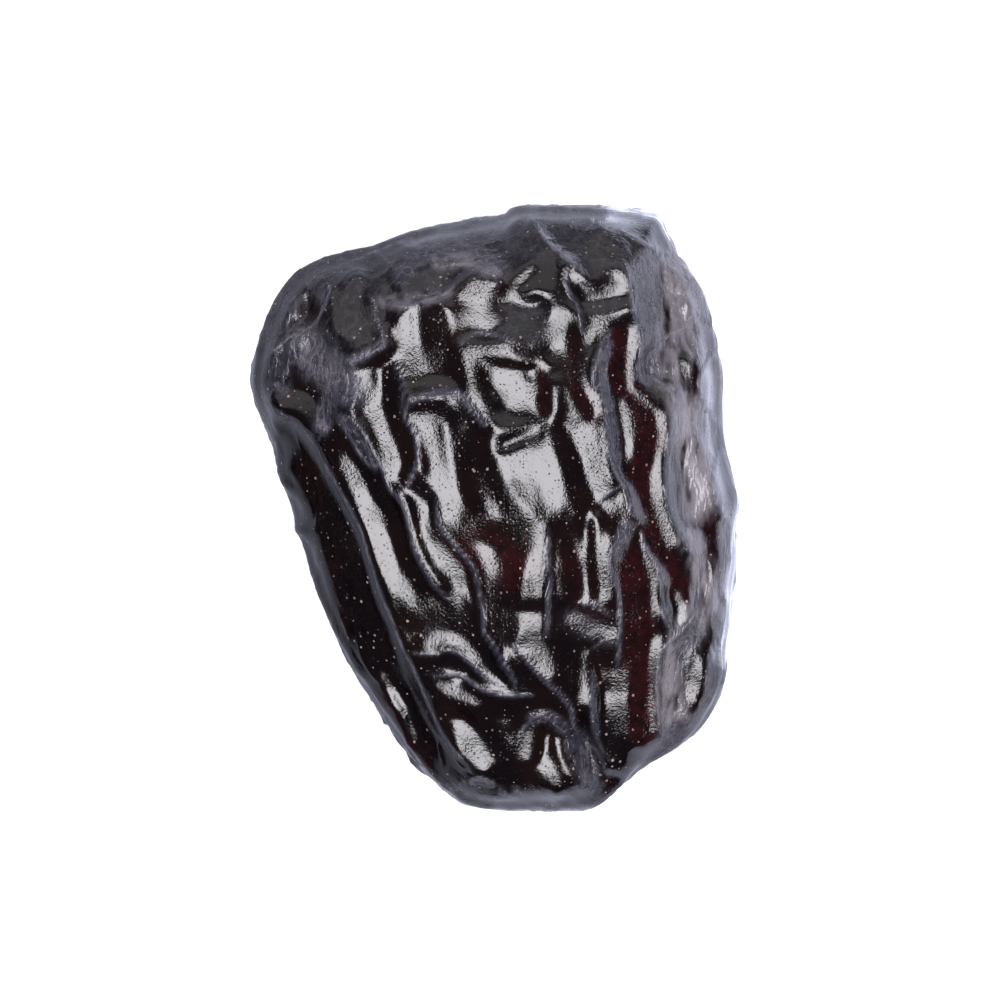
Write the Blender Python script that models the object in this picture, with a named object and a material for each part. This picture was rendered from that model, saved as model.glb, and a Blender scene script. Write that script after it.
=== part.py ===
"""Ajwa date: one dried fruit lying on its side, modelled in metres with +Z up.

The body is a box subdivided and rounded to the fruit's plan outline and thickness. The folds of its upper side
are raised from that body along hand-placed lines, those of the sides and the underside by a seeded rule.
"""
import math

import bmesh
import bpy
import numpy as np
from mathutils import Vector

MM = 0.001
NAME = "date_fruit"
FACE_CELLS = 38  # cells along each side of the starting box's broad faces
SIDE_CELLS = 12  # and up its sides
BOX_HEIGHT = 0.5

# Body, in mm. The plan is seen from above: x to the right, y towards the broad end.
ROUNDNESS = 2.3  # exponent of the cross-section: 2 is an ellipse
MID_HEIGHT = 9.0  # height of the widest line
UPPER_THICKNESS = 9.7
UPPER_THICKNESS_NARROW = 7.6
LOWER_THICKNESS = 9.5
LOWER_THICKNESS_NARROW = 8.4
NARROW_END_Y = -16.0
BROAD_FROM_Y = 8.0
OUTLINE_TAKES_OVER = 0.55  # share of the radius where the plan's corners start to show
OUTLINE = (
    (-12.45, 6.5), (-12.2, 8), (-11.7, 9.5), (-10.9, 11), (-10, 12), (-8.95, 12.5), (-8, 12.8), (-6.25, 13.2),
    (-4.1, 14), (-1.25, 14.6), (0.1, 14.75), (0.9, 15.2), (3, 15.25), (5, 15.25), (7.5, 14.95), (8, 14.7),
    (8.25, 14), (8.75, 12.9), (9.1, 12.5), (10, 11.05), (10.35, 9.5), (10.65, 8), (10.9, 6.5), (10.9, 5),
    (11, 3.5), (11.35, 2), (11.8, 0.5), (11.65, -1), (11.7, -2.5), (11.55, -4), (11.45, -5.5), (11.25, -7),
    (11.2, -8.5), (10.6, -10), (9.4, -11.5), (6.95, -13), (5.25, -14.5), (4.25, -15), (2, -15.05), (0, -15),
    (-1.25, -14.85), (-2.15, -14.5), (-3.85, -13), (-5.05, -11.5), (-6.1, -10), (-7.05, -8.5), (-7.9, -7),
    (-8.55, -5.5), (-9.15, -4), (-9.6, -2.5), (-10.05, -1), (-10.5, 0.5), (-11, 2), (-11.4, 3.5), (-12.05, 5),
)
# Each fold: height, width of its slope on the left and on the right of the line, and the line, seen from above.
FOLDS = (
    (0.8, 0.45, 0.5, ((-1.3, -13.1), (-2.3, -12), (-3, -10.9), (-3.6, -9.6), (-4.3, -8), (-4.9, -6.8),
         (-5.5, -5.2), (-6, -4), (-6.5, -2.5), (-7, -0.8), (-8, 1), (-9, 2.8), (-9.5, 3.6), (-10.5, 4.5),
         (-11.7, 5.4))),
    (0.8, 0.4, 0.5, ((-2.5, -4.5), (-3.3, -3.7), (-3.9, -2.7), (-4.3, -1.8), (-4.6, -0.5), (-4.9, 0.4),
         (-5.5, 1.1), (-5.8, 1.9), (-6.3, 2.9), (-6.9, 4), (-7.7, 4.6), (-8.6, 4.8))),
    (0.4, 0.3, 0.3, ((-6.2, 1.9), (-6.9, 2.7), (-7.6, 3.9), (-8.3, 4.7))),
    (0.5, 0.4, 0.4, ((-9, 3.6), (-8.6, 4.8), (-8.9, 6.1))),
    (0.7, 0.4, 0.4, ((-5, 0.8), (-4.6, 1.2), (-4.15, 2.3), (-4.1, 3.5), (-4.7, 4.7), (-4.75, 5.5),
         (-4.9, 6.6), (-5.2, 7.3))),
    (0.8, 0.4, 0.5, ((0.8, -9), (0.6, -8.3), (0.1, -7.5), (-0.3, -6.8), (-0.8, -6), (-0.85, -5),
         (-1.1, -3.8), (-1.3, -2.9), (-2, -2), (-3, -0.8), (-3.2, 0.5))),
    (0.5, 0.4, 0.5, ((-4.5, 5.3), (-3.5, 5.6), (-2.2, 5.7), (-1.6, 5.1), (-0.7, 4.2))),
    (0.6, 0.4, 0.4, ((0.5, -6.6), (1.2, -7.3), (1.9, -8.1), (2.9, -9.1), (3.5, -9.8), (3.7, -10.8),
         (4.2, -11.5), (5, -12.3), (5.3, -13.2))),
    (0.35, 0.3, 0.3, ((-4.4, -7.1), (-3.1, -7.2))),
    (0.35, 0.3, 0.3, ((-3.1, -6.9), (-2.2, -7), (-1.4, -7.7), (-0.6, -8.4), (0.2, -8.8))),
    (0.5, 0.4, 0.4, ((-3.3, -8.3), (-2, -8.2), (-0.9, -8.9), (0.3, -9.2), (1.6, -9.2))),
    (0.7, 0.5, 0.5, ((1, -11.4), (1.3, -10.7), (2.1, -10.2), (3, -10.9), (3.7, -11.4))),
    (0.7, 0.5, 0.6, ((0.9, 14.7), (1.7, 14.3), (2.2, 13.5), (3, 12.7), (3.7, 12.2), (4.6, 11.5))),
    (0.5, 0.6, 0.6, ((4, 14.8), (5.3, 14), (6.3, 13.7), (7.5, 13), (9, 12.2), (9.8, 11))),
    (0.4, 0.4, 0.4, ((3.4, 12.2), (3.3, 11.2), (3.9, 10), (4.2, 8.8))),
    (0.6, 0.5, 0.6, ((6.1, 12.5), (6.4, 11.3), (6.6, 10), (6.9, 9), (7, 8), (6.6, 6.2))),
    (0.7, 0.5, 0.5, ((8.8, 6), (8.6, 4.5), (8.3, 3), (8.25, 1), (8.6, -0.5), (9.2, -1.6), (9.8, -2.7),
         (9.9, -4), (9.6, -5.4), (8.9, -6.2), (8.1, -7), (7.8, -8.5), (7.9, -10), (8, -11.5))),
    (0.7, 0.5, 0.5, ((9, 13), (9.6, 12), (9.3, 10.8), (10, 9.5), (10.6, 8.6), (10.3, 7.5), (9.9, 6.3),
         (10.2, 5), (10.5, 4.8), (10.8, 3), (10.6, 1.5), (10.8, 0.3), (11.3, -0.9), (11.2, -2.5), (11, -4),
         (11.2, -4.8), (11, -6), (10.5, -7), (10.3, -8.5), (10.2, -9.5))),
    (0.3, 0.3, 0.3, ((7.5, 8.2), (8.6, 8.8), (9.8, 9.4))),
    (0.3, 0.3, 0.3, ((6.8, 6.9), (7.8, 6.5), (8.6, 6), (8.8, 5.4))),
    (0.7, 0.4, 0.4, ((5.6, 9), (5, 8), (4.6, 6.6), (5, 5.5), (5.3, 4.8), (5.3, 3.5), (5.7, 2), (6.3, 0.9),
         (6.5, 0), (7, -0.6))),
    (0.5, 0.3, 0.3, ((4.8, 0.4), (6, 1.2))),
    (0.6, 0.4, 0.4, ((6.9, -0.6), (6, -1.2), (5.4, -2.6), (5.8, -3.8), (5.95, -5), (5.9, -7), (5.8, -8))),
    (0.6, 0.4, 0.4, ((7, -1), (7.3, -2), (7.9, -3), (8.1, -4.5), (8.2, -5.5), (8.8, -6.2))),
    (0.5, 0.4, 0.4, ((4.5, -8), (4.6, -10), (4.7, -11), (5.2, -12.2))),
    (0.6, 0.4, 0.5, ((2.4, -1), (2.4, -3.5), (2.4, -6.3))),
    (0.4, 0.4, 0.4, ((8.4, -8.5), (8.8, -7.5), (9.3, -6.5))),
    (0.4, 0.3, 0.4, ((3.9, -4.6), (4.8, -4.8), (5.6, -5.3))),
    (0.35, 0.3, 0.3, ((4.6, -6.9), (5.2, -6.5), (5.8, -6.3))),
    (0.7, 0.5, 0.5, ((11.2, -8.5), (10.6, -9), (9.8, -10), (9.2, -11), (8.8, -11.7), (8, -12.1),
         (7, -12.9), (6, -13.3))),
    (0.5, 0.4, 0.5, ((-10.8, 11), (-10.85, 9.5), (-10.7, 8.5))),
    (0.7, 0.5, 0.5, ((-9, 12), (-8.5, 11), (-8.8, 10), (-9.3, 9.2), (-10.5, 8.6), (-11.5, 7.7),
         (-12, 7.2))),
    (0.8, 0.6, 0.6, ((-9.2, 8.6), (-8.5, 7.5), (-7.2, 6.5), (-7.1, 6.1), (-7.3, 5.6), (-8.5, 5.2))),
    (0.4, 0.4, 0.4, ((-10.4, 11.4), (-9, 12.05), (-8, 12.6))),
    (0.6, 0.5, 0.5, ((-5.7, 10.3), (-4.8, 10.1), (-3.5, 10.5), (-2.7, 10.8), (-2, 11.4))),
    (0.6, 0.5, 0.4, ((-3.3, 12), (-2.5, 12.2), (-1.3, 12.2), (-0.4, 11.6), (0, 11.1))),
    (0.4, 0.5, 0.5, ((-6.1, 12.8), (-5.4, 12.2), (-4.8, 11.5))),
    (0.8, 0.5, 0.5, ((-6.2, 10.8), (-6.1, 9.5), (-5.75, 8.3), (-6.5, 7.8), (-7.2, 7.5))),
    (0.4, 0.3, 0.4, ((-2, 8.2), (-1.2, 8.8), (0.2, 8.6), (1.2, 8.2))),
    (0.4, 0.4, 0.4, ((-3.8, -13.1), (-2.3, -13.8), (-1, -13.3), (0.2, -14))),
    (0.4, 0.4, 0.4, ((-0.9, -14.5), (0.5, -14.1), (1.5, -13.8), (2.2, -14.2))),
    (0.4, 0.4, 0.4, ((6.5, -13.5), (5, -14.5), (4, -14.8))),
)
# Each panel of skin between folds: width, how steeply it faces right and towards the broad end, and its line.
PANELS = (
    (0.3, (0.9, 0), ((-5, 0.8), (-4.5, 0.1), (-4.3, -0.8), (-4, -1.8), (-3.5, -2.7))),
    (0.3, (0.8, 0), ((-3.2, 0.2), (-2.9, -0.8), (-2.4, -1.6), (-1.9, -2.4))),
    (0.5, (-0.15, 0.1), ((-2, 9.7), (-1.8, 9))),
    (1.6, (0.9, 0.1), ((9.5, 2.8), (9.6, 1.4), (9.6, 0))),
    (0.7, (0.15, 0), ((8.5, 8.2), (9.2, 8.5), (9.8, 8.9))),
    (1.1, (0.4, 0), ((7.8, 7.2), (8.6, 7.2), (9.3, 6.9))),
    (0.9, (0.4, 0.2), ((8.3, 11.8), (8.7, 11))),
    (2, (-0.9, -0.45), ((-10.3, 3.3), (-9.3, 2), (-8.4, 0), (-7.8, -2), (-7.2, -4), (-6.5, -6),
         (-5.8, -7.4))),
    (0.7, (-0.85, -0.5), ((-5.1, -8), (-4.1, -10.2), (-3.1, -12))),
    (0.16, (-2.3, -1.2), ((-10.3, 4.3), (-9.45, 3.55), (-8.95, 2.65), (-8.05, 0.9), (-7.05, -0.9),
         (-6.55, -2.5), (-6.05, -4), (-5.55, -5.2), (-4.95, -6.8), (-4.35, -8), (-3.65, -9.6),
         (-3.05, -10.9), (-2.35, -12))),
    (0.35, (-2, -0.8), ((-7.8, 4.5), (-7, 3.7), (-6.5, 2.8), (-6, 1.8))),
    (0.16, (-2.2, -0.8), ((-5.5, 1), (-4.95, 0.2), (-4.7, -0.6), (-4.4, -1.8), (-4, -2.7), (-3.4, -3.6),
         (-2.7, -4.4))),
    (0.6, (-0.8, -0.4), ((-6.2, 2), (-5.75, 1), (-5.35, 0), (-5, -1), (-4.7, -2), (-4.3, -3),
         (-3.9, -3.8))),
    (0.16, (-2.2, -0.6), ((-3.2, 0.3), (-3.05, -0.7), (-2.05, -2), (-1.35, -2.9), (-1.15, -3.8),
         (-0.95, -5), (-0.85, -6), (-0.4, -6.85), (0.05, -7.5))),
    (0.9, (-0.65, -0.4), ((-2.1, -4.3), (-1.7, -5.4), (-1.4, -6.5))),
    (0.5, (0.8, 0), ((-2.8, 0.2), (-2.4, -1), (-1.6, -2), (-0.9, -3.2), (-0.5, -5), (-0.2, -6.2))),
    (0.16, (-2.2, -0.4), ((-4.85, 6.9), (-4.8, 5.4), (-4.7, 4.6), (-4.2, 3.5), (-4.2, 2.3), (-4.65, 1.2))),
    (0.7, (-0.75, -0.3), ((-5.6, 6.8), (-5.45, 5.4), (-5, 4), (-4.7, 2.6))),
    (0.3, (0.8, 0.2), ((-4.45, 4.4), (-3.95, 3.3), (-3.85, 2.3))),
    (0.8, (-0.2, -0.6), ((-4.3, 1.3), (-3.4, 1))),
    (0.5, (-0.2, -0.6), ((-2.9, -0.9), (-2.4, -1.7), (-1.9, -2.6), (-1.7, -3.8))),
    (1.5, (-0.4, -0.4), ((-4.4, -5.4), (-3.3, -5.3), (-2.1, -5.5))),
    (0.5, (0.2, -0.7), ((-4, -7.6), (-2.8, -7.5), (-1.8, -8))),
    (0.65, (0.75, 0), ((3.65, 8.6), (3.6, 7.5), (3.7, 6.2), (4, 5.5), (4.5, 4.9))),
    (0.55, (0.75, 0), ((6.15, 9.2), (5.9, 8), (5.85, 6.8), (6.2, 5.9), (6.9, 5.1), (7.4, 4.3), (7.5, 3.5),
         (7.1, 2.6))),
    (0.5, (0.75, 0), ((6.5, 1.9), (7, 0.9), (7.3, 0), (7.55, -1), (7.9, -2), (8.5, -3))),
    (1, (0.65, 0), ((6.5, -2), (6.6, -3.2), (6.8, -5), (6.85, -8), (7, -10), (7.3, -11.3))),
    (0.9, (0.8, -0.15), ((-2.2, 4.2), (-2, 2.9), (-1.7, 1.4), (-1.1, 0.1))),
    (1, (-0.7, -0.25), ((-1.05, 3.2), (-0.75, 2.4), (-0.2, 1.2), (0.4, 0.2))),
    (0.8, (0.65, -0.1), ((3.4, -1.6), (3.6, -3), (3.7, -4.2))),
    (0.8, (0.75, 0.3), ((2.7, 4), (3.3, 3), (3.7, 2), (4, 1), (4.2, -0.1))),
    (0.6, (0.6, 0), ((3.4, -6.6), (3.5, -8.6))),
    (0.5, (0.6, -0.2), ((8.5, -2.7), (8.9, -3.6))),
    (0.5, (0.6, 0.2), ((8.4, 10.1), (8.7, 9.5))),
    (0.7, (0.5, 0.1), ((10.4, -0.5), (10.7, -1.4))),
    (1.7, (0.62, 0), ((-3.2, 9.3), (-3.1, 8.2), (-2.9, 7))),
    (0.9, (-0.65, -0.3), ((-2.3, 7.5), (-2.2, 6.4), (-1.85, 5.5), (-1.3, 4.6), (-0.7, 3.9))),
    (0.5, (-0.75, -0.2), ((4.5, -0.4), (4.6, -2.2), (4.75, -4.2))),
    (0.8, (-0.75, -0.2), ((2.2, 6.8), (2.1, 5.8), (2.2, 4.7))),
    (1.6, (-0.6, -0.25), ((0.5, -1.8), (0.4, -3.4), (0.3, -5.8))),
    (0.6, (-0.5, -0.2), ((5.1, -7), (5.2, -8.3))),
    (0.5, (-0.6, 0.1), ((2.6, -11.2), (2.6, -12.2))),
    (0.4, (0, -1), ((-0.8, 7.6), (-0.2, 7.35), (0.6, 7.15), (1.6, 7.1), (2.6, 7.1))),
    (0.28, (0.5, -0.3), ((-0.7, 7), (-0.3, 6.1), (0.2, 5.1))),
    (0.6, (0.1, -0.9), ((-0.3, 10.9), (0.2, 10.4), (0.9, 10.3), (1.7, 10.5))),
    (0.6, (0.3, -0.9), ((-7.2, 7.1), (-6.4, 7.4), (-5.6, 7.6))),
    (0.7, (0.1, -0.7), ((-3.8, 5.15), (-2.9, 4.95), (-2.3, 4.6), (-1.8, 4.3))),
    (0.35, (0, -1), ((1.1, -4.75), (1.8, -4.75), (2.3, -4.9))),
    (0.4, (-0.2, -1), ((4, -4.9), (4.8, -5.1), (5.6, -5.6))),
    (0.5, (0.3, -0.8), ((0.2, 3.5), (0.9, 3.8), (1.7, 4))),
    (1.5, (-0.2, -0.6), ((-0.9, -1.1), (0.9, -1.1))),
    (0.6, (-0.5, -0.4), ((0.3, 0.6), (0.9, -0.1), (1.6, -0.6))),
    (0.8, (0.2, -0.8), ((-1, -9.9), (0.6, -9.7), (2.2, -9.5), (3, -10))),
    (0.8, (-0.3, -0.6), ((-0.4, -10.8), (0.1, -12.2))),
    (0.45, (1.7, 0.2), ((5.5, 8.7), (5.15, 7.8), (5, 6.5), (5.3, 5.3), (5.5, 4), (5.6, 2.6), (5.9, 1.5))),
    (0.3, (1.7, 0.2), ((8.8, 6), (8.6, 4), (8.45, 2), (8.4, 0.8), (8.75, -0.4), (9.3, -1.5), (9.85, -2.6),
         (10, -4), (9.75, -5.4), (9.1, -6.3), (8.25, -7.2), (8.05, -8.5), (8.1, -10))),
    (0.18, (1.8, 0.2), ((6.4, 0.9), (6.65, 0.2), (7.05, -0.6))),
    (0.2, (1.6, 0.4), ((1.4, -7.4), (2.4, -8.5), (3.2, -9.4), (3.75, -10.4), (4.2, -11.3), (5, -12.2))),
    (0.3, (1.4, 0.3), ((6.6, -1), (6, -1.5), (5.6, -2.5), (5.9, -3.6))),
    (0.2, (1.5, 0.2), ((4.55, -7.2), (4.65, -8.4), (4.7, -10))),
    (0.2, (1.4, 0.1), ((2.45, -1.6), (2.45, -3.5), (2.45, -5.8))),
    (0.35, (1.4, 0.3), ((11.1, -0.9), (11.1, -2.5), (11, -4), (11.2, -5))),
    (0.35, (1.4, 0.3), ((10.45, 5), (10.7, 3.2), (10.75, 1.6))),
    (0.8, (1.4, 0.4), ((4, -11.8), (4.4, -13.4))),
    (0.5, (0.6, 0.3), ((3.2, -11.6), (3.5, -13))),
    (1.6, (0.1, 0.7), ((0.6, 9.7), (1.4, 8.6))),
    (1.4, (-0.1, 0.7), ((-7.6, 9.2), (-6.8, 9.4))),
    (1.4, (0.2, 0.75), ((2.9, 13.7), (4.4, 13), (5.4, 12.6))),
    (0.7, (0.2, 0.7), ((4.8, 10.1), (5.5, 10))),
    (0.7, (0.3, 0.7), ((2.2, 11.2), (2.2, 12.6))),
    (0.8, (0, 0.7), ((-3.6, 6.3), (-2.6, 6.3))),
    (0.9, (0, 0.75), ((-4.4, 11.2), (-3.2, 11.4))),
    (1.2, (-0.3, 0.7), ((-10.7, 5.6), (-9.6, 5.3), (-9.3, 4.7))),
    (0.3, (-0.3, 1.7), ((-5.7, 10.5), (-4.8, 10.35), (-3.5, 10.7), (-2.8, 11), (-2.2, 11.5))),
    (0.35, (0.1, 1.8), ((-3.3, 12.3), (-2.4, 12.5), (-1.2, 12.4), (-0.3, 11.9))),
    (0.3, (1.6, 0.8), ((-0.1, 11.7), (0.25, 11.2))),
    (0.35, (1.2, 1.3), ((1.8, 14.3), (2.3, 13.6), (3.1, 12.8), (3.8, 12.3), (4.6, 11.6))),
    (0.45, (1.3, 1.3), ((5.4, 14.1), (6.4, 13.8), (7.6, 13.1), (9.1, 12.3))),
    (0.9, (1.5, 0.3), ((7.4, 12), (7.5, 10.4), (7.6, 8.8))),
    (0.3, (1.5, 0), ((-6.15, 10.6), (-5.9, 9.5), (-5.6, 8.4))),
    (1.6, (-1.4, 0.8), ((-9, 7.5), (-8.2, 6.4), (-7.9, 5.8))),
    (0.9, (-0.8, 0.1), ((-10.4, 7.9), (-10, 6.9))),
    (0.5, (-1.3, 0.9), ((-11.3, 10), (-11.2, 9))),
    (0.5, (-0.6, 1.5), ((-10, 9), (-11, 8.4))),
    (0.8, (0.4, 0.3), ((-9.9, 10.4), (-9.9, 9.8))),
    (0.85, (0, 0), ((-6.7, 6.4), (-6.35, 5.2), (-5.8, 3.7), (-5.3, 2.3))),
    (0.3, (0, 0), ((-4, 0.2), (-3.85, -0.9), (-3.45, -1.9), (-2.9, -2.8), (-2.35, -3.4), (-2.25, -4.7))),
    (0.22, (0, 0), ((-3.5, -0.5), (-3.1, -1.5), (-2.6, -2.2), (-2.1, -3))),
    (0.4, (0, 0), ((-3.6, -6.6), (-2.9, -6.35), (-2.1, -6.45), (-1.4, -7.2), (-0.7, -8), (0, -8.4))),
    (0.6, (0, 0), ((-2.9, -8.8), (-2.1, -9.1), (-1.2, -9.5))),
    (0.8, (0, 0), ((-1.9, -10.7), (-1.3, -11.6), (-0.85, -12.6))),
    (0.5, (0, 0), ((1.5, -10.9), (1.3, -12.3))),
    (1.6, (0, 0), ((-1.2, 10.7), (-1, 9.9), (-0.7, 9.5))),
    (0.35, (0, 0), ((3.6, 12), (3.85, 11.3), (4.5, 11.15), (5.1, 11.5), (5.7, 12), (6, 11.4))),
    (0.4, (0, 0), ((4.2, 10.5), (5, 10.8), (5.9, 10.9))),
    (0.22, (0, 0), ((3.15, 8.5), (3.15, 6.4), (3.4, 5.4), (4, 4.75))),
    (0.3, (0, 0), ((4.3, 8.4), (4.2, 7.1), (4.4, 6.1), (4.9, 5.1))),
    (0.3, (0, 0), ((0.4, 7.95), (-0.3, 8.15), (-1.2, 8.05), (-1.6, 7.4), (-1.45, 6.6), (-1, 5.7),
         (-0.4, 4.9))),
    (0.9, (0, 0), ((-0.1, 6.2), (0.6, 5.4), (1.2, 4.8))),
    (1.2, (0, 0), ((0.6, 2.2), (1.4, 2.7))),
    (1, (0, 0), ((1.9, 3), (2.2, 2), (2.6, 1), (2.6, 0.4))),
    (0.6, (0, 0), ((1, 1.5), (1.6, 0.4))),
    (1, (0, 0), ((4.2, 3.7), (4.6, 2.8), (4.8, 1.8))),
    (0.6, (0, 0), ((5.2, 0.15), (6, 0.35), (6.4, -0.2))),
    (0.4, (0, 0), ((6.4, 6.1), (7.2, 5.4), (7.95, 4.6), (8.1, 3.6), (7.9, 2.7), (7.6, 1.7), (7.8, 0.5),
         (8.25, -0.6), (8.6, -1.6))),
    (0.5, (0, 0), ((6.1, 5.2), (6.3, 4.2), (6.4, 3.3), (6.3, 2.5))),
    (0.45, (0, 0), ((2.6, -0.1), (2, -0.7), (1.9, -2), (1.8, -4.3))),
    (0.4, (0, 0), ((2.5, -0.15), (3.2, -0.5), (3.7, -1.4), (4.1, -2.3))),
    (0.4, (0, 0), ((2.8, -2.4), (2.75, -4), (2.8, -6))),
    (0.7, (0, 0), ((1.65, -5.3), (1.8, -6.5), (2.6, -7.9))),
    (0.7, (0, 0), ((5.1, -1.4), (5.15, -3.2), (5.3, -4.2))),
    (0.5, (0, 0), ((3.4, -5.6), (4.4, -5.9), (5.2, -6))),
    (0.25, (0, 0), ((6.15, -3.4), (6.1, -6), (6.1, -9.3))),
    (0.32, (0, 0), ((6.95, -1.5), (7.4, -2.5), (7.75, -3.4), (7.65, -5), (7.75, -7), (7.75, -9),
         (7.85, -10.6))),
    (0.7, (0, 0), ((8.7, -4.2), (9.1, -4.8), (9, -5.5))),
    (0.9, (0, 0), ((9.4, -7.2), (9.7, -8.4), (9.6, -9.3))),
    (0.45, (0, 0), ((4.3, -7.2), (4.2, -9.3))),
    (0.35, (0, 0), ((-7.2, 11.5), (-7.35, 10.6), (-7.4, 9.8))),
    (0.45, (0, 0), ((-0.8, -1.9), (-0.35, -3))),
    (0.4, (0, 0), ((-4.3, -4.1), (-4.3, -4.8))),
    (0.5, (0, 0), ((10.5, -2.4), (10.4, -3.6), (10.2, -4.6))),
    (0.85, (0, 0), ((-7.65, 2.4), (-7, 1.1), (-6.4, 0), (-5.9, -1.4), (-5.5, -2.6), (-5.25, -3.6))),
    (0.95, (0, 0), ((-4.95, 9.1), (-4.7, 8.2), (-4.3, 6.8))),
    (0.6, (0, 0), ((1.7, -5.5), (1.9, -6.6), (2.6, -8))),
    (0.5, (0, 0), ((0.3, 6.7), (1, 6))),
    (0.55, (0, 0), ((-5.9, -8.1), (-4.9, -9.9), (-4.2, -11.6))),
    (0.95, (0, 0), ((-3.85, 4.3), (-3.35, 3.3), (-3.1, 2.2), (-2.75, 1), (-2.45, -0.4))),
    (0.7, (0, 0), ((3.1, 10.7), (3, 9.2), (2.6, 7.7))),
    (0.4, (0, 0), ((4.6, 8.4), (5, 9), (5.6, 9.55), (6.3, 9.75), (6.75, 9), (6.6, 7.8), (6.4, 6.7))),
    (0.45, (0, 0), ((0.4, 10.8), (0.9, 11.3), (1.6, 12.1))),
    (0.9, (0, 0), ((5.4, -9), (5.5, -10.6), (5.9, -11.8))),
    (0.8, (0, 0), ((2.3, -12.6), (2.8, -13.6))),
)

# How the folds are raised, in mm
GRID = 0.1  # cell of the plan on which the upper skin is worked out
GRID_EDGE = 1.0  # the grid goes this far past the outline
CREST_RADIUS = 0.25
FOLD_BLEND = 3.0  # how sharply neighbouring folds give way to each other
FOLD_END = 1.5  # length over which a fold rises at its ends
FOLD_END_SHARE = 0.25  # share of its height that it starts with
FOLD_REACH = 5.0  # a fold acts this many widths away
PANEL_EDGE_IN, PANEL_EDGE_OUT = 0.1, 0.2  # a panel fades over this much of its edge
UNPAINTED = 0.15  # how firmly the skin keeps the slope of the folds where no panel lies
PANEL_HOLD, STEEP_HOLD = 4.0, 1.5  # and how firmly that of a panel, steep ones giving way first
STEEP_SLOPE = 1.1
# How firmly the skin keeps its height: inside the outline, near it and outside it
KEEP_HEIGHT, KEEP_HEIGHT_RIM, KEEP_HEIGHT_OUTSIDE = 0.0015, 0.5, 5.0
HOLD_RIM = (0.93, 0.99)  # share of the radius over which the skin comes to rest on the body
RIM = (0.94, 1.0)  # share of the radius over which the upper folds give way to the side ones
SOLVER_STEPS = 900
SOLVER_DONE = 1e-8  # the solver stops at this share of its first error
SOFTENED = 8  # times that the upper skin is averaged with its neighbours on the plan grid

# Folds of the sides and the underside, in mm and degrees round the long axis, 0 straight down
SEED = 11
LONG_FOLDS = 19
LONG_FOLD_FROM, LONG_FOLD_TO = -118.0, 118.0
LONG_FOLD_SHIFT = 0.09  # radians that a fold may lie off its even place
LONG_FOLD_HEIGHT = (0.8, 1.5)
LONG_FOLD_WIDTH = (0.6, 1.0)
LONG_FOLD_SWAY = (2.0, 6.0)
SWAY_LENGTH, SMALL_SWAY_LENGTH, SWELL_LENGTH = 6.0, 2.3, 4.0
LONG_FOLD_STARTS, LONG_FOLD_STOPS = (-18, -9), (8, 18)  # y of its two ends
CROSS_FOLDS = 16
CROSS_FOLD_LENGTH = (3.0, 6.0)
CROSS_FOLD_HEIGHT, CROSS_FOLD_WIDTH = (0.54, 0.9), 0.7
CROSS_FOLD_TURN = (0.1, 1.5)  # radians from the way of the long folds
SIDE_SINK = 0.4  # the skin lies this much lower, so that the folds keep the body's size
# On the widest line, which the plan outline already shapes, this share is left of the crests and of the hollows,
# and all of them is back this far above and below it.
CALM_CREST, CREST_BACK = 0.0, 4.0
CALM_HOLLOW, HOLLOW_BACK = 0.1, 2.5
ENDS_CALM = (0.3, 4.5)  # distance from the long axis over which the folds rise
AXIS_X, AXIS_LEAN = 0.7, -0.15  # where the long axis crosses the plan, and its lean from end to end
REST_DEPTH = 0.55  # pressed flat by its own weight where it rests

SKIN_COLOUR = (0.017, 0.007, 0.007, 1.0)
SKIN_ROUGHNESS = 0.22


def smoothstep(low, high, value):
    t = np.clip((value - low) / (high - low), 0, 1)
    return t * t * (3 - 2 * t)


def spline(points, closed=False, per_span=4):
    """A smooth line through the points."""
    p = np.array(points, float)
    if closed:
        p = np.vstack([p[-1:], p, p[:2]])
    else:
        p = np.vstack([2 * p[0] - p[1], p, 2 * p[-1] - p[-2]])
    t = np.linspace(0, 1, per_span, endpoint=False)[:, None]
    spans = [
        0.5 * (2 * b + (c - a) * t + (2 * a - 5 * b + 4 * c - d) * t**2 + (3 * b - a - 3 * c + d) * t**3)
        for a, b, c, d in zip(p, p[1:], p[2:], p[3:])
    ]
    return np.vstack(spans if closed else spans + [p[-2:-1]])


def rim_radius(angle):
    """Distance from the middle to the plan outline."""
    ring = spline(OUTLINE, closed=True)
    ring_angle = np.arctan2(ring[:, 1], ring[:, 0])
    order = np.argsort(ring_angle)
    return np.interp(angle, ring_angle[order], np.hypot(ring[order, 0], ring[order, 1]), period=2 * np.pi)


def soft_radius(angle, harmonics=4):
    """The same distance for a plan without corners, which shapes the middle of the body."""
    turn = np.linspace(-np.pi, np.pi, 720, endpoint=False)
    rim = rim_radius(turn)
    total = np.full(np.shape(angle), rim.mean())
    for n in range(1, harmonics + 1):
        total = total + 2 * (rim * np.cos(n * turn)).mean() * np.cos(n * angle)
        total = total + 2 * (rim * np.sin(n * turn)).mean() * np.sin(n * angle)
    return total


def reach(x, y):
    """0 in the middle of the plan and 1 on its outline."""
    angle = np.arctan2(y, x)
    radius = np.hypot(x, y)
    rim = rim_radius(angle)
    share = smoothstep(OUTLINE_TAKES_OVER, 1.0, radius / rim)
    return radius / (soft_radius(angle) * (1 - share) + rim * share)


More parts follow.
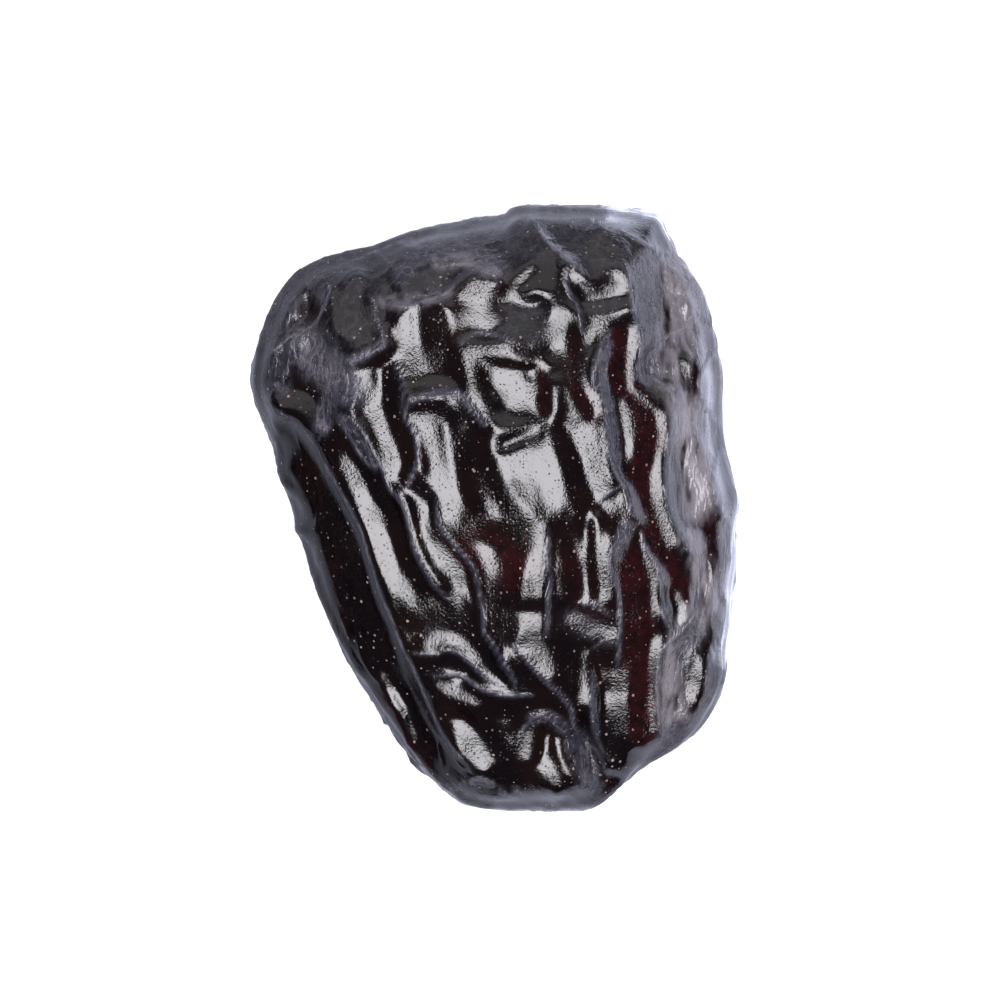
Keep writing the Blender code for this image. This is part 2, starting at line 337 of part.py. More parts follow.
def body_height(x, y, upper):
    """Height of the body without folds."""
    full, narrow = (UPPER_THICKNESS, UPPER_THICKNESS_NARROW) if upper else (LOWER_THICKNESS, LOWER_THICKNESS_NARROW)
    thickness = narrow + (full - narrow) * smoothstep(NARROW_END_Y, BROAD_FROM_Y, y)
    rise = thickness * (1 - np.clip(reach(x, y), 0, 1) ** ROUNDNESS) ** (1 / ROUNDNESS)
    return MID_HEIGHT + (rise if upper else -rise)


def nearest(x, y, line):
    """Distance to a line, which side of it a point is on, and how far along it."""
    distance = np.full(x.shape, np.inf)
    side = np.zeros(x.shape)
    along = np.zeros(x.shape)
    start = 0.0
    for a, b in zip(line, line[1:]):
        length = math.dist(a, b)
        ux, uy = (b - a) / length
        t = np.clip((x - a[0]) * ux + (y - a[1]) * uy, 0, length)
        dx, dy = x - a[0] - t * ux, y - a[1] - t * uy
        here = np.hypot(dx, dy)
        closer = here < distance
        distance = np.where(closer, here, distance)
        side = np.where(closer, ux * dy - uy * dx, side)
        along = np.where(closer, start + t, along)
        start += length
    return distance, side, along, start


def fold_profile(distance, width):
    """A sharp crest that falls away to both sides."""
    return np.exp((CREST_RADIUS - np.hypot(distance, CREST_RADIUS)) / width)


def fold_ends(along, length):
    return np.clip(np.minimum(along, length - along) / FOLD_END + FOLD_END_SHARE, 0, 1)


def near_line(x, y, line, distance):
    low, high = line.min(axis=0) - distance, line.max(axis=0) + distance
    return (x > low[0]) & (x < high[0]) & (y > low[1]) & (y < high[1])


def upper_folds(x, y):
    total = np.zeros(x.shape)
    for height, left, right, points in FOLDS:
        line = spline(points)
        spot = near_line(x, y, line, FOLD_REACH * max(left, right))
        distance, side, along, length = nearest(x[spot], y[spot], line)
        rise = height * fold_ends(along, length) * fold_profile(distance, np.where(side > 0, left, right))
        total[spot] += rise**FOLD_BLEND
    return total ** (1 / FOLD_BLEND)


def paint_panels(x, y, slope, axis):
    """The slope that the skin should have, and how firmly it is held to it. Later panels cover earlier ones."""
    hold = np.full(x.shape, UNPAINTED)
    for width, faces, points in PANELS:
        line = spline(points)
        spot = near_line(x, y, line, width / 2 + PANEL_EDGE_OUT)
        distance = nearest(x[spot], y[spot], line)[0]
        firmness = PANEL_HOLD if math.hypot(*faces) < STEEP_SLOPE else STEEP_HOLD
        cover = smoothstep(width / 2 + PANEL_EDGE_OUT, width / 2 - PANEL_EDGE_IN, distance)
        slope[spot] += cover * (-faces[axis] - slope[spot])
        hold[spot] += cover * (firmness - hold[spot])
    return slope, hold


def soften(values):
    for _ in range(SOFTENED):
        for axis in (0, 1):
            values = 0.5 * values + 0.25 * (np.roll(values, 1, axis) + np.roll(values, -1, axis))
    return values


def divergence(flow_x, flow_y, shape):
    out = np.zeros(shape)
    out[:, 1:] += flow_x
    out[:, :-1] -= flow_x
    out[1:] += flow_y
    out[:-1] -= flow_y
    return out


def upper_skin():
    """The upper skin over the plan: pulled over the folds, then eased until each panel faces its way."""
    reach_x = max(abs(p[0]) for p in OUTLINE) + GRID_EDGE
    reach_y = max(abs(p[1]) for p in OUTLINE) + GRID_EDGE
    xs = np.arange(-reach_x, reach_x, GRID)
    ys = np.arange(-reach_y, reach_y, GRID)
    x, y = np.meshgrid(xs, ys)
    body = body_height(x, y, True)
    folded = body + upper_folds(x, y)
    slope_x, hold_x = paint_panels(x[:, 1:] - GRID / 2, y[:, 1:], np.diff(folded, axis=1) / GRID, 0)
    slope_y, hold_y = paint_panels(x[1:], y[1:] - GRID / 2, np.diff(folded, axis=0) / GRID, 1)
    share = reach(x, y)
    keep = np.where(share < 1, KEEP_HEIGHT, KEEP_HEIGHT_OUTSIDE) + KEEP_HEIGHT_RIM * smoothstep(*HOLD_RIM, share)

    def pull(height):
        flow_x = hold_x * np.diff(height, axis=1)
        flow_y = hold_y * np.diff(height, axis=0)
        return keep * height + divergence(flow_x, flow_y, x.shape)

    # Conjugate gradients
    stiffness = keep + divergence(hold_x, hold_y, x.shape)
    stiffness[:, :-1] += 2 * hold_x
    stiffness[:-1] += 2 * hold_y
    height = folded.copy()
    rest = keep * folded + divergence(hold_x * slope_x * GRID, hold_y * slope_y * GRID, x.shape) - pull(height)
    step = rest / stiffness
    way = step
    size = first = (rest * step).sum()
    for _ in range(SOLVER_STEPS):
        pulled = pull(way)
        amount = size / (way * pulled).sum()
        height += amount * way
        rest -= amount * pulled
        step = rest / stiffness
        size, before = (rest * step).sum(), size
        if size < SOLVER_DONE * first:
            break
        way = step + size / before * way
    return xs, ys, soften(height - body)


def sample(xs, ys, values, x, y):
    """The value of a grid at any place, between its points."""
    i = np.clip((x - xs[0]) / GRID, 0, len(xs) - 1.001)
    j = np.clip((y - ys[0]) / GRID, 0, len(ys) - 1.001)
    i0, j0 = i.astype(int), j.astype(int)
    u, v = i - i0, j - j0
    low = values[j0, i0] * (1 - u) + values[j0, i0 + 1] * u
    high = values[j0 + 1, i0] * (1 - u) + values[j0 + 1, i0 + 1] * u
    return low * (1 - v) + high * v


def side_folds(x, y, z):
    """Folds that run from end to end round the sides and the underside, with short ones across."""
    rng = np.random.default_rng(SEED)
    from_axis = x - AXIS_X - AXIS_LEAN * y
    radius = np.hypot(from_axis, z - MID_HEIGHT)
    round_angle = np.arctan2(from_axis, MID_HEIGHT - z)
    total = np.zeros(x.shape)
    places = np.radians(np.linspace(LONG_FOLD_FROM, LONG_FOLD_TO, LONG_FOLDS))
    for place in places + rng.uniform(-LONG_FOLD_SHIFT, LONG_FOLD_SHIFT, LONG_FOLDS):
        sway = np.radians(rng.uniform(*LONG_FOLD_SWAY, 2))
        phase = rng.uniform(0, 2 * np.pi, 2)
        line = place + sway[0] * np.sin(y / SWAY_LENGTH + phase[0])
        line = line + sway[1] / 2 * np.sin(y / SMALL_SWAY_LENGTH + phase[1])
        rise = rng.uniform(*LONG_FOLD_HEIGHT) * (0.75 + 0.25 * np.sin(y / SWELL_LENGTH + phase.sum()))
        start, end = rng.uniform(*LONG_FOLD_STARTS), rng.uniform(*LONG_FOLD_STOPS)
        rise = rise * smoothstep(start - 1, start + 3, y) * smoothstep(end + 1, end - 3, y)
        profile = fold_profile(radius * (round_angle - line), rng.uniform(*LONG_FOLD_WIDTH))
        total += (rise * profile) ** FOLD_BLEND
    for _ in range(CROSS_FOLDS):
        place, along = np.radians(rng.uniform(LONG_FOLD_FROM, LONG_FOLD_TO)), rng.uniform(-12, 12)
        turn, half = rng.uniform(*CROSS_FOLD_TURN), rng.uniform(*CROSS_FOLD_LENGTH) / 2
        u = radius * (round_angle - place)
        v = y - along
        t = np.clip(u * np.sin(turn) + v * np.cos(turn), -half, half)
        distance = np.hypot(u - t * np.sin(turn), v - t * np.cos(turn))
        total += (rng.uniform(*CROSS_FOLD_HEIGHT) * fold_profile(distance, CROSS_FOLD_WIDTH)) ** FOLD_BLEND
    return (total ** (1 / FOLD_BLEND) - SIDE_SINK) * smoothstep(*ENDS_CALM, radius)


def is_level(edge):
    return math.isclose(edge.verts[0].co.z, edge.verts[1].co.z, abs_tol=1e-4)


def rounded_box():
    """A low box split into cells, closest together on its broad faces, with its corners as directions."""
    mesh = bmesh.new()
    bmesh.ops.create_cube(mesh, size=2)
    upright = [edge for edge in mesh.edges if not is_level(edge)]
    bmesh.ops.subdivide_edges(mesh, edges=upright, cuts=SIDE_CELLS - 1)
    level = [edge for edge in mesh.edges if is_level(edge)]
    bmesh.ops.subdivide_edges(mesh, edges=level, cuts=FACE_CELLS - 1, use_grid_fill=True)
    directions = np.tan(np.array([v.co for v in mesh.verts]) * math.pi / 4)
    directions[:, 2] *= BOX_HEIGHT
    return mesh, directions / np.linalg.norm(directions, axis=1)[:, None]


def place(mesh, x, y, z):
    for vertex, point in zip(mesh.verts, zip(x, y, z)):
        vertex.co = Vector(point)
    mesh.normal_update()
    return np.array([v.normal for v in mesh.verts])


def fruit_mesh():
    mesh, direction = rounded_box()
    angle = np.arctan2(direction[:, 1], direction[:, 0])
    share = np.hypot(direction[:, 0], direction[:, 1]) ** (2 / ROUNDNESS)
    x = share * rim_radius(angle) * np.cos(angle)
    y = share * rim_radius(angle) * np.sin(angle)
    upper = direction[:, 2] > 0
    z = np.where(upper, body_height(x, y, True), body_height(x, y, False))
    normal = place(mesh, x, y, z)

    side = np.where(upper, smoothstep(*RIM, reach(x, y)), 1)
    out = side_folds(x, y, z)
    from_widest = abs(z - MID_HEIGHT)
    crest_share = CALM_CREST + (1 - CALM_CREST) * smoothstep(0, CREST_BACK, from_widest)
    hollow_share = CALM_HOLLOW + (1 - CALM_HOLLOW) * smoothstep(0, HOLLOW_BACK, from_widest)
    out = side * out * np.where(out > 0, crest_share, hollow_share)
    lift = np.where(upper, (1 - side) * sample(*upper_skin(), x, y), 0)
    x, y, z = x + out * normal[:, 0], y + out * normal[:, 1], z + out * normal[:, 2] + lift

    rest = MID_HEIGHT - LOWER_THICKNESS + REST_DEPTH
    z = np.maximum(z, rest) - rest
    x -= (x.max() + x.min()) / 2
    y -= (y.max() + y.min()) / 2
    place(mesh, x * MM, y * MM, z * MM)
    return mesh


def skin_material():
    material = bpy.data.materials.new("date_skin")
    material.use_nodes = True
    shader = material.node_tree.nodes["Principled BSDF"]
    shader.inputs["Base Color"].default_value = SKIN_COLOUR
    shader.inputs["Roughness"].default_value = SKIN_ROUGHNESS
    shader.inputs["Metallic"].default_value = 0.0
    return material


def build():
    for old in list(bpy.data.objects):
        bpy.data.objects.remove(old, do_unlink=True)
    collection = bpy.data.collections.new("ajwa_date")
    bpy.context.scene.collection.children.link(collection)
    mesh = fruit_mesh()
    data = bpy.data.meshes.new(NAME)
    mesh.to_mesh(data)
    mesh.free()
    data.polygons.foreach_set("use_smooth", [True] * len(data.polygons))
    data.materials.append(skin_material())
    collection.objects.link(bpy.data.objects.new(NAME, data))


build()
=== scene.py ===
import math

import bmesh
import bpy
import numpy as np
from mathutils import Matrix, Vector, noise


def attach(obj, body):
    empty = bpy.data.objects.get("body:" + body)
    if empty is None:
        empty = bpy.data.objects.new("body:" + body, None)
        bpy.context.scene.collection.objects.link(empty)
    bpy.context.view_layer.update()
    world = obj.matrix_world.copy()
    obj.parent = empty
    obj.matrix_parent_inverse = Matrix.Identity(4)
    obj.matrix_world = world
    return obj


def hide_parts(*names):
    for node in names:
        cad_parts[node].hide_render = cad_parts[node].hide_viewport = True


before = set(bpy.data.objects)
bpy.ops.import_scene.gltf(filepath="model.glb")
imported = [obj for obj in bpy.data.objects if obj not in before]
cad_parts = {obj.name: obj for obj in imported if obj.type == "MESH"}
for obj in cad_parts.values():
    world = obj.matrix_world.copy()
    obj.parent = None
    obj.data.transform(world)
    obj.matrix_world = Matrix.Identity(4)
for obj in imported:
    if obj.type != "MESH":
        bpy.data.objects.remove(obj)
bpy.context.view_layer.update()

MM = 0.001
NODE = "date_fruit"
FACE_CELLS = 240  # cells along each side of the starting box's broad faces
SIDE_CELLS = 22  # and up its sides
BOX_HEIGHT = 0.5
FACE_REACH = 0.999  # a point of the box this far out is on its edge
MERGES_BELOW = 2  # times that the cells underneath are merged into larger ones

# Body, in mm. The plan is seen from above: x to the right, y towards the broad end.
ROUNDNESS = 2.3  # exponent of the cross-section: 2 is an ellipse
MID_HEIGHT = 9.0  # height of the widest line
UPPER_THICKNESS = (9.7, 7.6)  # at the broad end and at the narrow end
LOWER_THICKNESS = (9.5, 8.4)
NARROW_END_Y = -16.0
BROAD_FROM_Y = 8.0
OUTLINE_TAKES_OVER = 0.55  # share of the radius where the plan's corners start to show
OUTLINE = (
    (-12.45, 6.5), (-12.2, 8), (-11.7, 9.5), (-10.9, 11), (-10, 12), (-8.95, 12.5), (-8, 12.8), (-6.25, 13.2),
    (-4.1, 14), (-1.25, 14.6), (0.1, 14.75), (0.9, 15.2), (3, 15.25), (5, 15.25), (7.5, 14.95), (8, 14.7),
    (8.25, 14), (8.75, 12.9), (9.1, 12.5), (10, 11.05), (10.35, 9.5), (10.65, 8), (10.9, 6.5), (10.9, 5),
    (11, 3.5), (11.35, 2), (11.8, 0.5), (11.65, -1), (11.7, -2.5), (11.55, -4), (11.45, -5.5), (11.25, -7),
    (11.2, -8.5), (10.6, -10), (9.4, -11.5), (6.95, -13), (5.25, -14.5), (4.25, -15), (2, -15.05), (0, -15),
    (-1.25, -14.85), (-2.15, -14.5), (-3.85, -13), (-5.05, -11.5), (-6.1, -10), (-7.05, -8.5), (-7.9, -7),
    (-8.55, -5.5), (-9.15, -4), (-9.6, -2.5), (-10.05, -1), (-10.5, 0.5), (-11, 2), (-11.4, 3.5), (-12.05, 5),
)
# Each fold: its height, the width of its slope on the left and on the right of its line, and that line seen
# from above.
FOLDS = (
    (0.8, 0.45, 0.5, ((-1.3, -13.1), (-2.3, -12), (-3, -10.9), (-3.6, -9.6), (-4.3, -8), (-4.9, -6.8),
         (-5.5, -5.2), (-6, -4), (-6.5, -2.5), (-7, -0.8), (-8, 1), (-9, 2.8), (-9.5, 3.6), (-10.5, 4.5),
         (-11.7, 5.4))),
    (0.8, 0.4, 0.5, ((-2.5, -4.5), (-3.3, -3.7), (-3.9, -2.7), (-4.3, -1.8), (-4.6, -0.5), (-4.9, 0.4),
         (-5.5, 1.1), (-5.8, 1.9), (-6.3, 2.9), (-6.9, 4), (-7.7, 4.6), (-8.6, 4.8))),
    (0.4, 0.3, 0.3, ((-6.2, 1.9), (-6.9, 2.7), (-7.6, 3.9), (-8.3, 4.7))),
    (0.5, 0.4, 0.4, ((-9, 3.6), (-8.6, 4.8), (-8.9, 6.1))),
    (0.7, 0.4, 0.4, ((-5, 0.8), (-4.6, 1.2), (-4.15, 2.3), (-4.1, 3.5), (-4.7, 4.7), (-4.75, 5.5),
         (-4.9, 6.6), (-5.2, 7.3))),
    (0.8, 0.4, 0.5, ((0.8, -9), (0.6, -8.3), (0.1, -7.5), (-0.3, -6.8), (-0.8, -6), (-0.85, -5),
         (-1.1, -3.8), (-1.3, -2.9), (-2, -2), (-3, -0.8), (-3.2, 0.5))),
    (0.5, 0.4, 0.5, ((-4.5, 5.3), (-3.5, 5.6), (-2.2, 5.7), (-1.6, 5.1), (-0.7, 4.2))),
    (0.4, 0.4, 0.4, ((0.5, -6.6), (1.2, -7.3), (1.9, -8.1), (2.9, -9.1), (3.5, -9.8), (3.7, -10.8),
         (4.2, -11.5), (5, -12.3), (5.3, -13.2))),
    (0.35, 0.3, 0.3, ((-4.4, -7.1), (-3.1, -7.2))),
    (0.35, 0.3, 0.3, ((-3.1, -6.9), (-2.2, -7), (-1.4, -7.7), (-0.6, -8.4), (0.2, -8.8))),
    (0.5, 0.4, 0.4, ((-3.3, -8.3), (-2, -8.2), (-0.9, -8.9), (0.3, -9.2), (1.6, -9.2))),
    (0.7, 0.5, 0.5, ((1, -11.4), (1.3, -10.7), (2.1, -10.2), (3, -10.9), (3.7, -11.4))),
    (0.7, 0.5, 0.6, ((0.9, 14.7), (1.7, 14.3), (2.2, 13.5), (3, 12.7), (3.7, 12.2), (4.6, 11.5))),
    (0.5, 0.6, 0.6, ((4, 14.8), (5.3, 14), (6.3, 13.7), (7.5, 13), (9, 12.2), (9.8, 11))),
    (0.4, 0.4, 0.4, ((3.4, 12.2), (3.3, 11.2), (3.9, 10), (4.2, 8.8))),
    (0.6, 0.5, 0.6, ((6.1, 12.5), (6.4, 11.3), (6.6, 10), (6.9, 9), (7, 8), (6.6, 6.2))),
    (0.7, 0.5, 0.5, ((8.8, 6), (8.6, 4.5), (8.3, 3), (8.25, 1), (8.6, -0.5), (9.2, -1.6), (9.8, -2.7),
         (9.9, -4), (9.6, -5.4), (8.9, -6.2), (8.1, -7), (7.8, -8.5), (7.9, -10), (8, -11.5))),
    (0.7, 0.5, 0.5, ((9, 13), (9.6, 12), (9.3, 10.8), (10, 9.5), (10.6, 8.6), (10.3, 7.5), (9.9, 6.3),
         (10.2, 5), (10.5, 4.8), (10.8, 3), (10.6, 1.5), (10.8, 0.3), (11.3, -0.9), (11.2, -2.5), (11, -4),
         (11.2, -4.8), (11, -6), (10.5, -7), (10.3, -8.5), (10.2, -9.5))),
    (0.3, 0.3, 0.3, ((7.5, 8.2), (8.6, 8.8), (9.8, 9.4))),
    (0.3, 0.3, 0.3, ((6.8, 6.9), (7.8, 6.5), (8.6, 6), (8.8, 5.4))),
    (0.7, 0.4, 0.4, ((5.6, 9), (5, 8), (4.6, 6.6), (5, 5.5), (5.3, 4.8), (5.3, 3.5), (5.7, 2), (6.3, 0.9),
         (6.5, 0), (7, -0.6))),
    (0.5, 0.3, 0.3, ((4.8, 0.4), (6, 1.2))),
    (0.6, 0.4, 0.4, ((6.9, -0.6), (6, -1.2), (5.4, -2.6), (5.8, -3.8), (5.95, -5), (5.9, -7), (5.8, -8))),
    (0.6, 0.4, 0.4, ((7, -1), (7.3, -2), (7.9, -3), (8.1, -4.5), (8.2, -5.5), (8.8, -6.2))),
    (0.5, 0.4, 0.4, ((4.5, -8), (4.6, -10), (4.7, -11), (5.2, -12.2))),
    (0.6, 0.4, 0.5, ((2.4, -1), (2.4, -3.5), (2.4, -6.3))),
    (0.4, 0.4, 0.4, ((8.4, -8.5), (8.8, -7.5), (9.3, -6.5))),
    (0.4, 0.3, 0.4, ((3.9, -4.6), (4.8, -4.8), (5.6, -5.3))),
    (0.35, 0.3, 0.3, ((4.6, -6.9), (5.2, -6.5), (5.8, -6.3))),
    (0.7, 0.5, 0.5, ((11.2, -8.5), (10.6, -9), (9.8, -10), (9.2, -11), (8.8, -11.7), (8, -12.1),
         (7, -12.9), (6, -13.3))),
    (0.5, 0.4, 0.5, ((-10.8, 11), (-10.85, 9.5), (-10.7, 8.5))),
    (0.7, 0.5, 0.5, ((-9, 12), (-8.5, 11), (-8.8, 10), (-9.3, 9.2), (-10.5, 8.6), (-11.5, 7.7),
         (-12, 7.2))),
    (0.8, 0.6, 0.6, ((-9.2, 8.6), (-8.5, 7.5), (-7.2, 6.5), (-7.1, 6.1), (-7.3, 5.6), (-8.5, 5.2))),
    (0.4, 0.4, 0.4, ((-10.4, 11.4), (-9, 12.05), (-8, 12.6))),
    (0.6, 0.5, 0.5, ((-5.7, 10.3), (-4.8, 10.1), (-3.5, 10.5), (-2.7, 10.8), (-2, 11.4))),
    (0.6, 0.5, 0.4, ((-3.3, 12), (-2.5, 12.2), (-1.3, 12.2), (-0.4, 11.6), (0, 11.1))),
    (0.4, 0.5, 0.5, ((-6.1, 12.8), (-5.4, 12.2), (-4.8, 11.5))),
    (0.8, 0.5, 0.5, ((-6.2, 10.8), (-6.1, 9.5), (-5.75, 8.3), (-6.5, 7.8), (-7.2, 7.5))),
    (0.4, 0.3, 0.4, ((-2, 8.2), (-1.2, 8.8), (0.2, 8.6), (1.2, 8.2))),
    (0.4, 0.4, 0.4, ((-3.8, -13.1), (-2.3, -13.8), (-1, -13.3), (0.2, -14))),
    (0.4, 0.4, 0.4, ((-0.9, -14.5), (0.5, -14.1), (1.5, -13.8), (2.2, -14.2))),
    (0.4, 0.4, 0.4, ((6.5, -13.5), (5, -14.5), (4, -14.8))),
)
